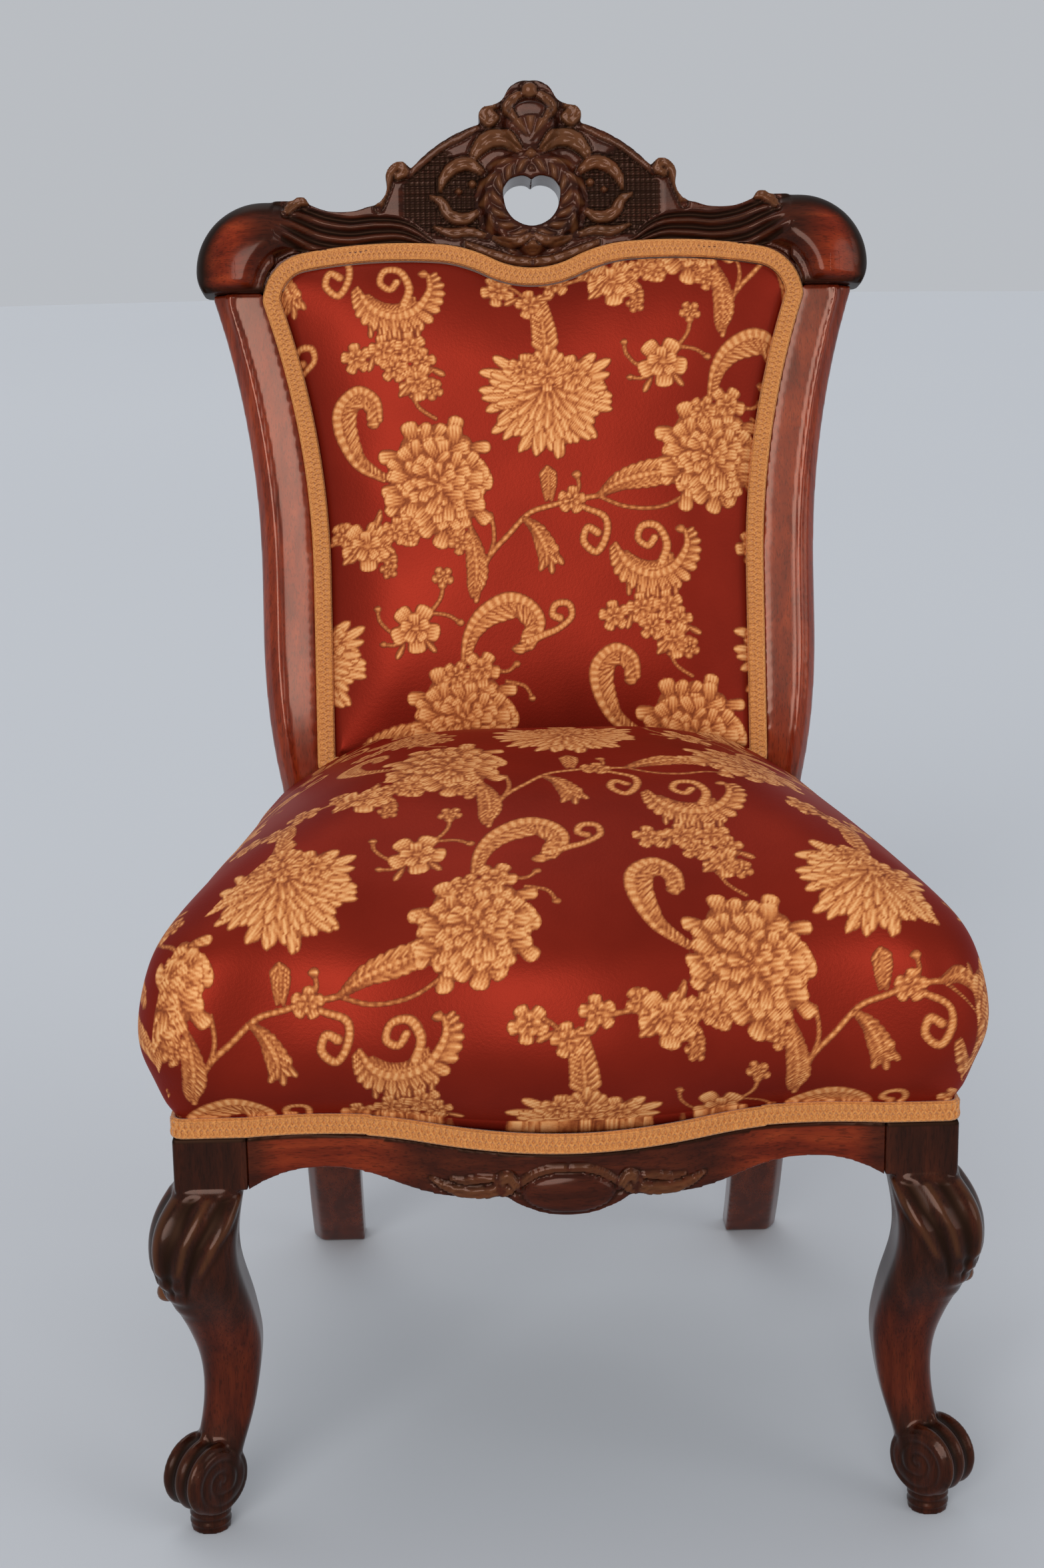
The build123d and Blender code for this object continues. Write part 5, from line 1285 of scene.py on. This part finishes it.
def skin_copy(node, voxel, smooth_rounds, name):
    """An evenly meshed copy of a CAD solid: its mesh, its points in millimetres and its normals."""
    mesh = nodes[node].data.copy()
    block = bpy.data.objects.new(name + "_block", mesh)
    scene.collection.objects.link(block)
    merge = block.modifiers.new("merge", "WELD")
    merge.merge_threshold = 1e-6
    remesh = block.modifiers.new("even_skin", "REMESH")
    remesh.mode = "VOXEL"
    remesh.voxel_size = voxel / 1000
    smooth = block.modifiers.new("soften", "SMOOTH")
    smooth.factor = 0.5
    smooth.iterations = smooth_rounds
    evaluated = block.evaluated_get(bpy.context.evaluated_depsgraph_get())
    skin = bpy.data.meshes.new_from_object(evaluated)
    bpy.data.objects.remove(block)
    points = np.empty(len(skin.vertices) * 3, np.float32)
    normals = np.empty_like(points)
    skin.vertices.foreach_get("co", points)
    skin.vertex_normals.foreach_get("vector", normals)
    return skin, points.reshape(-1, 3).astype(float) * 1000, normals.reshape(-1, 3).astype(float)


def carved_piece(name, skin, points, lift, depth, red_with_sheen, material, node):
    """Finish a carved skin: set its points, keep its painted shade in hollows, its rubbing and painted sheen.
    """
    skin.vertices.foreach_set("co", (points / 1000).astype(np.float32).ravel())
    piece = settle(name, skin, material)
    # Hollows get painted shade; the third number mixes in red with a painted red sheen
    store(piece, "hollow", np.clip(-lift / depth, 0, 1))
    store(piece, "ridge", np.clip(lift / depth - 0.3, 0, 1) * 0.6)
    store(piece, "red_and_sheen", red_with_sheen)
    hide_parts(node)

# %% Leaves and buds as heights


def soft_step(value, low, high):
    """Smooth step from 0 at low to 1 at high."""
    share = np.clip((np.asarray(value, float) - low) / (high - low), 0, 1)
    return share * share * (3 - 2 * share)


def stroke_field(u, v, points, widths):
    """Distance inside a stroke along a smooth line, place along it and signed place across it."""
    line = smooth_rows(np.column_stack([points, widths]).astype(float), 12 * len(widths))
    inside, share, across = np.full(u.shape, -99.0), np.zeros(u.shape), np.zeros(u.shape)
    way = np.gradient(line[:, :2], axis=0)
    way /= np.maximum(np.linalg.norm(way, axis=1, keepdims=True), 1e-9)
    low, high = line[:, :2].min(0) - max(widths) - 3, line[:, :2].max(0) + max(widths) + 3
    near = (u > low[0]) & (u < high[0]) & (v > low[1]) & (v < high[1])
    a, b = u[near], v[near]
    best, place, offset = np.full(a.shape, -99.0), np.zeros(a.shape), np.zeros(a.shape)
    for k, (x, y, width) in enumerate(line):
        reach = width - np.hypot(a - x, b - y)
        better = reach > best
        best = np.where(better, reach, best)
        place = np.where(better, k / (len(line) - 1), place)
        offset = np.where(better, ((b - y) * way[k, 0] - (a - x) * way[k, 1]) / max(width, 0.1), offset)
    inside[near], share[near], across[near] = best, place, offset
    return inside, share, across


def carve_leaf(lift, u, v, points, widths, height, veins=9.0):
    """Lay a rounded leaf with a sunk rib and slanting veins over what is carved so far."""
    inside, share, across = stroke_field(u, v, points, widths)
    body = height * np.sqrt(np.clip(1 - across**2, 0, 1))
    body -= 0.45 * height * np.exp(-((across / 0.16) ** 2))
    body *= 1 - 0.22 * (0.5 + 0.5 * np.sin(2 * np.pi * (veins * share + 0.9 * np.abs(across))))
    body *= soft_step(share, 0.0, 0.06)
    groove = -0.55 * height * soft_step(inside, -2.2, -0.2) * (inside < 0)
    return np.where(inside > 0, np.maximum(lift * 0.35, body), lift + groove)


def carve_bead(lift, u, v, place, radius, height):
    """Lay a round bud over what is carved so far."""
    reach = np.hypot(u - place[0], v - place[1])
    dome = height * np.sqrt(np.clip(1 - (reach / radius) ** 2, 0, 1))
    ring = (reach > radius) & (reach < radius + 1.6)
    groove = -0.4 * height * np.clip(1 - (reach - radius) / 1.6, 0, 1) * ring
    return np.where(reach < radius, np.maximum(lift, dome), lift + groove)


# %% [markdown]
# ## Crest rail
# The crest is the showpiece: a pierced cartouche ringed with leaves, a shell finial between two scrolls,
# diapered spandrels under a plain rim, curled ears, reeded arms and smooth rolled shoulders. Both halves
# mirror each other, so the carving is worked out once, from the distance to the middle line.

# %% Crest skin and ground
PIERCING_RISE, SHELL_RISE, DIAPER_PITCH = 69, 116, 8.2
crest_voxel = 1.45
crest_skin, crest_points, crest_normals = skin_copy("crest_rail", crest_voxel, 4, "crest")
lean_up = np.array((0, math.sin(LEAN), math.cos(LEAN)))
joint = np.array((0, JOINT_Y, JOINT_Z))
# a is the distance from the middle line, v the rise up the slope, n the distance in front of the back's plane
a = np.abs(crest_points[:, 0])
v = (crest_points - joint) @ lean_up
n = (crest_points - joint) @ facing
shown = soft_step(crest_normals @ facing, 0.15, 0.6) * soft_step(n, -12, -4)
radius = np.hypot(a, v - PIERCING_RISE)
angle = np.arctan2(a, v - PIERCING_RISE)
arch = np.interp(a, (0, 39, 70, 97, 120), (160, 132, 118.5, 96, 70))
spandrel = soft_step(arch - v, 5, 8) * soft_step(v, 40, 46) * soft_step(radius, 40, 44)
spandrel *= (1 - soft_step(a, 98, 106)) * (1 - soft_step(v - 0.6 * a, 66, 72))
diaper = np.cos(2 * np.pi * (a + v) / DIAPER_PITCH) * np.cos(2 * np.pi * (a - v) / DIAPER_PITCH)
lift = spandrel * (-1.8 + 1.5 * diaper)
print("crest skin, share of diapered ground", round(float((spandrel > 0.5).mean()), 3))

# %% Leaves, reeds and shell of the crest
for inner, outer, count, sweep, height in ((23.5, 33.5, 15, 0.030, 3.6), (34, 45, 13, -0.034, 3.2)):
    share = np.clip((radius - inner) / (outer - inner), 0, 1)
    band = np.where((radius > inner) & (radius < outer), np.sqrt(np.clip(1 - (2 * share - 1) ** 2, 0, 1)), 0)
    lobes = 0.5 + 0.5 * np.cos(count * (angle + sweep * (radius - inner)))
    lift = np.where(band > 0, band * height * (lobes**0.7 - 0.25), lift)
arms = ((206, 58), (188, 52), (168, 44), (146, 41), (124, 43), (104, 43), (84, 36))
inside, share, across = stroke_field(a, v, arms, (12, 19, 21, 20, 19, 15, 7))
reeds = 1.9 * np.cos(2 * np.pi * 2.0 * across) - 0.8
lift = np.where(inside > 0, reeds * soft_step(inside, 0, 3) * soft_step(share, 0.02, 0.2), lift)
edge_roll = ((99, 91), (86, 102), (70, 114), (54, 122), (43, 128))
lift = carve_leaf(lift, a, v, edge_roll, (2.6, 2.6, 2.6, 2.6, 2.4), 2.0, 0)
for points, widths, height in (
    (((8, 108), (20, 119), (33, 119), (43, 110), (47, 101)), (2.5, 6.5, 7.5, 5, 2), 4.2),
    (((38, 92), (50, 100), (62, 97), (70, 88), (73, 79)), (2.5, 5.5, 5.5, 4, 1.5), 3.4),
    (((42, 62), (54, 56), (66, 60), (72, 70), (80, 74)), (2.5, 5, 5, 4, 1.5), 3.0),
    (((36, 42), (50, 46), (64, 45), (78, 50)), (2.5, 4, 4, 1.5), 2.6),
    (((122, 66), (118, 82), (113, 96), (105, 100), (101, 94), (106, 91)), (3, 5.5, 5.5, 4.5, 3.6, 3.2), 3.6),
    (((196, 62), (192, 68), (186, 72), (180, 72)), (2.5, 4.5, 4.5, 3.5), 3.0),
    (((0, 21), (16, 23), (34, 29), (52, 36)), (3.6, 3.6, 3.4, 2.4), 2.6),
    (((0, 42), (9, 37), (19, 36), (30, 40)), (2.0, 4, 4, 2), 2.8),
    (((26, 146), (34, 146), (38, 139), (33, 133), (28, 136), (31, 140)), (3, 4.2, 4.6, 4.2, 3.4, 3), 3.4),
    (((10, 131), (18, 143), (12, 152), (4, 156)), (2.0, 4.4, 4.0, 2.0), 2.8),
):
    lift = carve_leaf(lift, a, v, points, widths, height, 5.0)
shell = np.hypot(a, v - SHELL_RISE)
shell_turn = np.arctan2(a, v - SHELL_RISE)
lift = np.where(
    (shell < 20) & (shell_turn < 0.95),
    (1 + 2.4 * soft_step(shell, 3, 16)) * (0.55 + 0.45 * np.cos(11 * shell_turn)),
    lift,
)
for place, bud, height in (
    ((0, 158), 6.5, 4.2),
    ((0, 33), 4.2, 3.0),
    ((0, 106), 4.0, 3.4),
    ((47, 84), 3.4, 2.6),
    ((58, 78), 2.8, 2.2),
):
    lift = carve_bead(lift, a, v, place, bud, height)
lift = np.clip(lift, -3, 5.2) * shown
print("crest relief", round(float(lift.min()), 1), "to", round(float(lift.max()), 1), "mm")

# %% [markdown]
# The shoulders are plain and round: a dome grows on their fronts, falls to nothing at the rim and at the
# joint below, and keeps clear of the padded panel, whose gimp lies beside it. A painted red highlight, a
# red sheen in the colour, runs down the middle of each, and the rim and foot of each dome get painted shade.

# %% Rolled shoulders
SHOULDER_X, SHOULDER_RISE, SHOULDER_RADIUS = 214, 18, 55
ROLL_HIGH, ROLL_SUNK, ROLL_FOOT, ROLL_CLEAR = 26, 9, 9, 16
past_x, past_v = np.maximum(a - SHOULDER_X, 0), np.maximum(v - SHOULDER_RISE, 0)
rim = np.clip(np.hypot(past_x, past_v) / SHOULDER_RADIUS, 0, 1)
swelling = (ROLL_HIGH * np.sqrt(1 - rim**2) - ROLL_SUNK) * soft_step(a, 172, 212)
swelling *= np.sqrt(np.clip(1 - ((ROLL_FOOT - np.clip(v, 0, ROLL_FOOT)) / ROLL_FOOT) ** 2, 0, 1))
panel_top = panel_half(-3)[0]
away = np.zeros(len(a))
beside = (a > 160) & (v > np.interp(a, *panel_top.T))
away[beside] = np.sqrt(((np.stack([a, v], 1)[beside, None] - panel_top[None]) ** 2).sum(2).min(1))
swelling *= np.sqrt(1 - (1 - np.clip(away / ROLL_CLEAR, 0, 1)) ** 2)
front_face = np.maximum(soft_step(crest_normals @ facing, 0.1, 0.35), (np.abs(a - 206) < 3) & (n > -2))
crest_points += (lift + np.maximum(swelling - n, 0) * front_face * (v > -1))[:, None] * facing
# Painted shade: the shoulder's rim and its foot are marked as hollows, so they are coloured darker
lift = np.where(a > 200, -2.4 * soft_step(rim, 0.72, 0.98) - 1.6 * (1 - soft_step(v, 1, 7)), lift)
# Painted highlight: a band of red sheen down the middle of each shoulder, over a little of the wood's own red
highlight_band = np.exp(-(((a - 241) / 17) ** 2)) * (1 - soft_step(v, 48, 72))
red_with_sheen = 0.06 + 0.94 * np.where(a > 190, highlight_band, 0)
carved_piece("crest_carving", crest_skin, crest_points, lift, 1.8, red_with_sheen, mahogany_carved, "crest_rail")

# %% [markdown]
# ## Front rail and legs
# The front rail carries a smooth cabochon under a raised lip, with a scroll and tapering leaves on each
# side. Each front leg has a fluted knee whose grooves sweep outward to a small bud, and it ends in a foot
# that curls out like a wave, with a spiral cut into its cheeks. The flutes are counted by the angle round the
# leg's bent middle line, so that they draw together where the leg narrows.

# %% Front rail carving
CABOCHON_Z, CABOCHON_WIDE, CABOCHON_HIGH = 259.5, 31, 14
front_voxel = 1.5
rail_skin, rail_points, rail_normals = skin_copy("front_seat_rail", front_voxel, 3, "front_rail")
a, z = np.abs(rail_points[:, 0]), rail_points[:, 2]
shown = soft_step(-rail_normals[:, 1], 0.3, 0.7) * (rail_points[:, 1] < FRONT_Y + 12) * (z < SHOW_TOP - 1)
stone = (a / CABOCHON_WIDE) ** 2 + ((z - CABOCHON_Z) / CABOCHON_HIGH) ** 2
dome, moat = 4.5 * np.sqrt(np.clip(1 - stone, 0, 1)), -1.4 * np.clip((1.35 - stone) / 0.35, 0, 1)
lift = np.where(stone < 1, dome, moat)
lift = carve_leaf(lift, a, z, ((0, 277), (14, 276), (26, 271), (35, 263)), (2.6, 2.8, 2.8, 2.2), 2.6, 0)
for points, widths, height in (
    (((34, 262), (40, 270), (46, 267), (45, 260), (40, 261)), (3, 4, 4.2, 3.8, 3.0), 3.2),
    (((47, 261), (58, 258), (70, 258), (82, 261), (92, 266)), (3.5, 5, 4.6, 3.2, 1.2), 3.0),
    (((49, 269), (60, 268), (70, 266), (78, 267)), (2.2, 3.2, 2.8, 1.2), 2.4),
):
    lift = carve_leaf(lift, a, z, points, widths, height, 4.0)
lift = np.clip(lift, -2, 4.6) * shown
rail_points[:, 1] -= lift
# Painted shade: the top edge under the gimp is marked as a hollow, a dark line; the cabochon stays plain
show_line = SHOW_TOP - SHOW_DIP * 0.5 * (1 + np.cos(np.pi * np.clip(a / SHOW_DIP_HALF, 0, 1)))
lift = np.where(z > show_line - 2.5, -2, np.where(stone < 1, 0, lift))
# Painted highlight: red sheen on both sides of the rail, short of the legs, over the wood's own red
red_with_sheen = 0.12 + 0.6 * soft_step(a, 95, 140) * (1 - soft_step(a, 190, 212))
carved_piece(
    "front_rail_carving", rail_skin, rail_points, lift, 2.2, red_with_sheen, mahogany_carved, "front_seat_rail"
)

# %% Front leg carving
LEG_X, LEG_Y = 240, -228.4
SCROLL_Z, SCROLL_SHIFT, BUD_Z = 41, 14, 166
FLUTES = 9
LEG_ROWS = np.array(
    (
        (31, 10), (49, 6), (69, 1), (88, -3.5), (110, -6), (128, -6), (145, -3.5),
        (165, 2), (184, 8.5), (202, 13), (223, 13.5), (243, 8), (259, 1),
    )
)
for hand, sign in (("left", -1), ("right", 1)):
    leg_skin, leg_points, leg_normals = skin_copy(f"front_leg_{hand}", front_voxel, 3, f"leg_{hand}")
    z = leg_points[:, 2]
    shift = np.interp(z, LEG_ROWS[:, 0], LEG_ROWS[:, 1])
    x_out = leg_points[:, 0] * sign - LEG_X - shift
    y_out = LEG_Y - shift - leg_points[:, 1]
    outward_way, cheek_way = (x_out + y_out) / math.sqrt(2), (x_out - y_out) / math.sqrt(2)
    angle = np.arctan2(cheek_way, outward_way)
    drop = np.clip((252 - z) / 62, 0, 1.2)
    flute = angle / (1.25 - 0.75 * drop)
    knee = soft_step(z - 9 * np.cos(FLUTES * flute), 186, 200) * (1 - soft_step(z, 250, 254))
    knee *= 1 - soft_step(np.abs(flute), 1.5, 1.8)
    lift = knee * (1.5 * np.cos(FLUTES * flute) - 0.3)
    middle = np.exp(-((angle / 0.35) ** 2)) * soft_step(z, 150, 190) * (1 - soft_step(z, 190, 215))
    lift += 0.8 * middle * np.cos(2 * np.pi * z / 12)
    foot_out = (leg_points[:, 0] * sign - LEG_X + LEG_Y - leg_points[:, 1]) / math.sqrt(2)
    foot_out -= SCROLL_SHIFT * math.sqrt(2)
    foot_up = z - SCROLL_Z
    foot_radius, foot_angle = np.hypot(foot_out, foot_up), np.arctan2(foot_up, foot_out)
    cheek = np.abs((leg_normals[:, 0] * sign + leg_normals[:, 1]) / math.sqrt(2))
    coil = 0.5 + 0.5 * np.cos(2 * np.pi * (foot_radius / 8.5) + foot_angle)
    curl = soft_step(cheek, 0.55, 0.85) * (foot_radius < 25) * (z < 70)
    lift = np.where(curl > 0, curl * (-0.9 * coil**2 + 0.3), lift)
    toes = (1 - soft_step(cheek, 0.3, 0.55)) * soft_step(z, 18, 24)
    toes *= (foot_radius > 17) & (foot_out > -6) & (z < 72)
    lift = np.where(toes > 0, toes * (1.3 * np.cos(2 * np.pi * cheek_way / 13) - 0.5), lift)
    bud = leg_points[np.argmax(np.where(np.abs(z - BUD_Z) < 3, leg_points[:, 0] * sign, 0))]
    lift += 6.0 * np.exp(-(np.linalg.norm(leg_points - bud, axis=1) / 6.5) ** 2)
    pad = (1 - soft_step(z, 16, 20)) * soft_step(z, 2, 4)
    lift += pad * 0.7 * np.cos(2 * np.pi * z / 6)
    leg_points += lift[:, None] * leg_normals
    # Painted shade: the top edge under the seat's gimp is marked as a hollow, a dark line
    lift = np.where(z > SHOW_TOP - 2.5, -2, lift)
    # Painted red sheen, a little, on the shank between foot and knee, over the wood's own red
    red_with_sheen = 0.02 + 0.2 * soft_step(z, 62, 90) * (1 - soft_step(z, 140, 185))
    carved_piece(
        f"front_leg_carving_{hand}", leg_skin, leg_points, lift, 1.6, red_with_sheen, mahogany_leg, f"front_leg_{hand}"
    )

# %% [markdown]
# ## Back posts
# Each stile has a rounded outer moulding, a thin ridge beside it and a broad hollow face that catches a long
# highlight. The ridge and the hollow follow the post's outer edge, which is read from the skin itself, height
# by height.

# %% Post mouldings
BIN_HIGH = 6.0
GROOVE_IN, RIDGE_IN, FACE_IN = 9, 13, 14.5
post_voxel = 2.2
for hand, sign in (("left", -1), ("right", 1)):
    post_skin, post_points, post_normals = skin_copy(f"back_post_{hand}", post_voxel, 8, f"post_{hand}")
    x, z = post_points[:, 0] * sign, post_points[:, 2]
    bins = np.arange(0, 850, BIN_HIGH)
    which = np.clip(np.digitize(z, bins) - 1, 0, len(bins) - 1)
    widest = np.zeros(len(bins))
    np.maximum.at(widest, which, x)
    widest = np.interp(np.arange(len(bins)), np.flatnonzero(widest), widest[widest > 0])
    edge = np.interp(z, bins + BIN_HIGH / 2, widest) - x
    shown = soft_step(post_normals @ facing, 0.55, 0.85) * soft_step(z, 420, 450)
    lift = 1.2 * np.exp(-(((edge - RIDGE_IN) / 1.8) ** 2)) - 0.9 * np.exp(-(((edge - GROOVE_IN) / 2.0) ** 2))
    lift -= 1.0 * soft_step(edge, FACE_IN, FACE_IN + 2.5)
    lift = lift * shown
    post_points += lift[:, None] * facing
    # Painted highlight: red sheen on the stiles above the seat, less under the crest, over the wood's own red
    red_with_sheen = 0.25 + 0.75 * soft_step(z, 400, 450) - 0.3 * soft_step(z, 740, 820)
    carved_piece(
        f"back_post_moulding_{hand}", post_skin, post_points, lift, 6, red_with_sheen, mahogany_post,
        f"back_post_{hand}",
    )
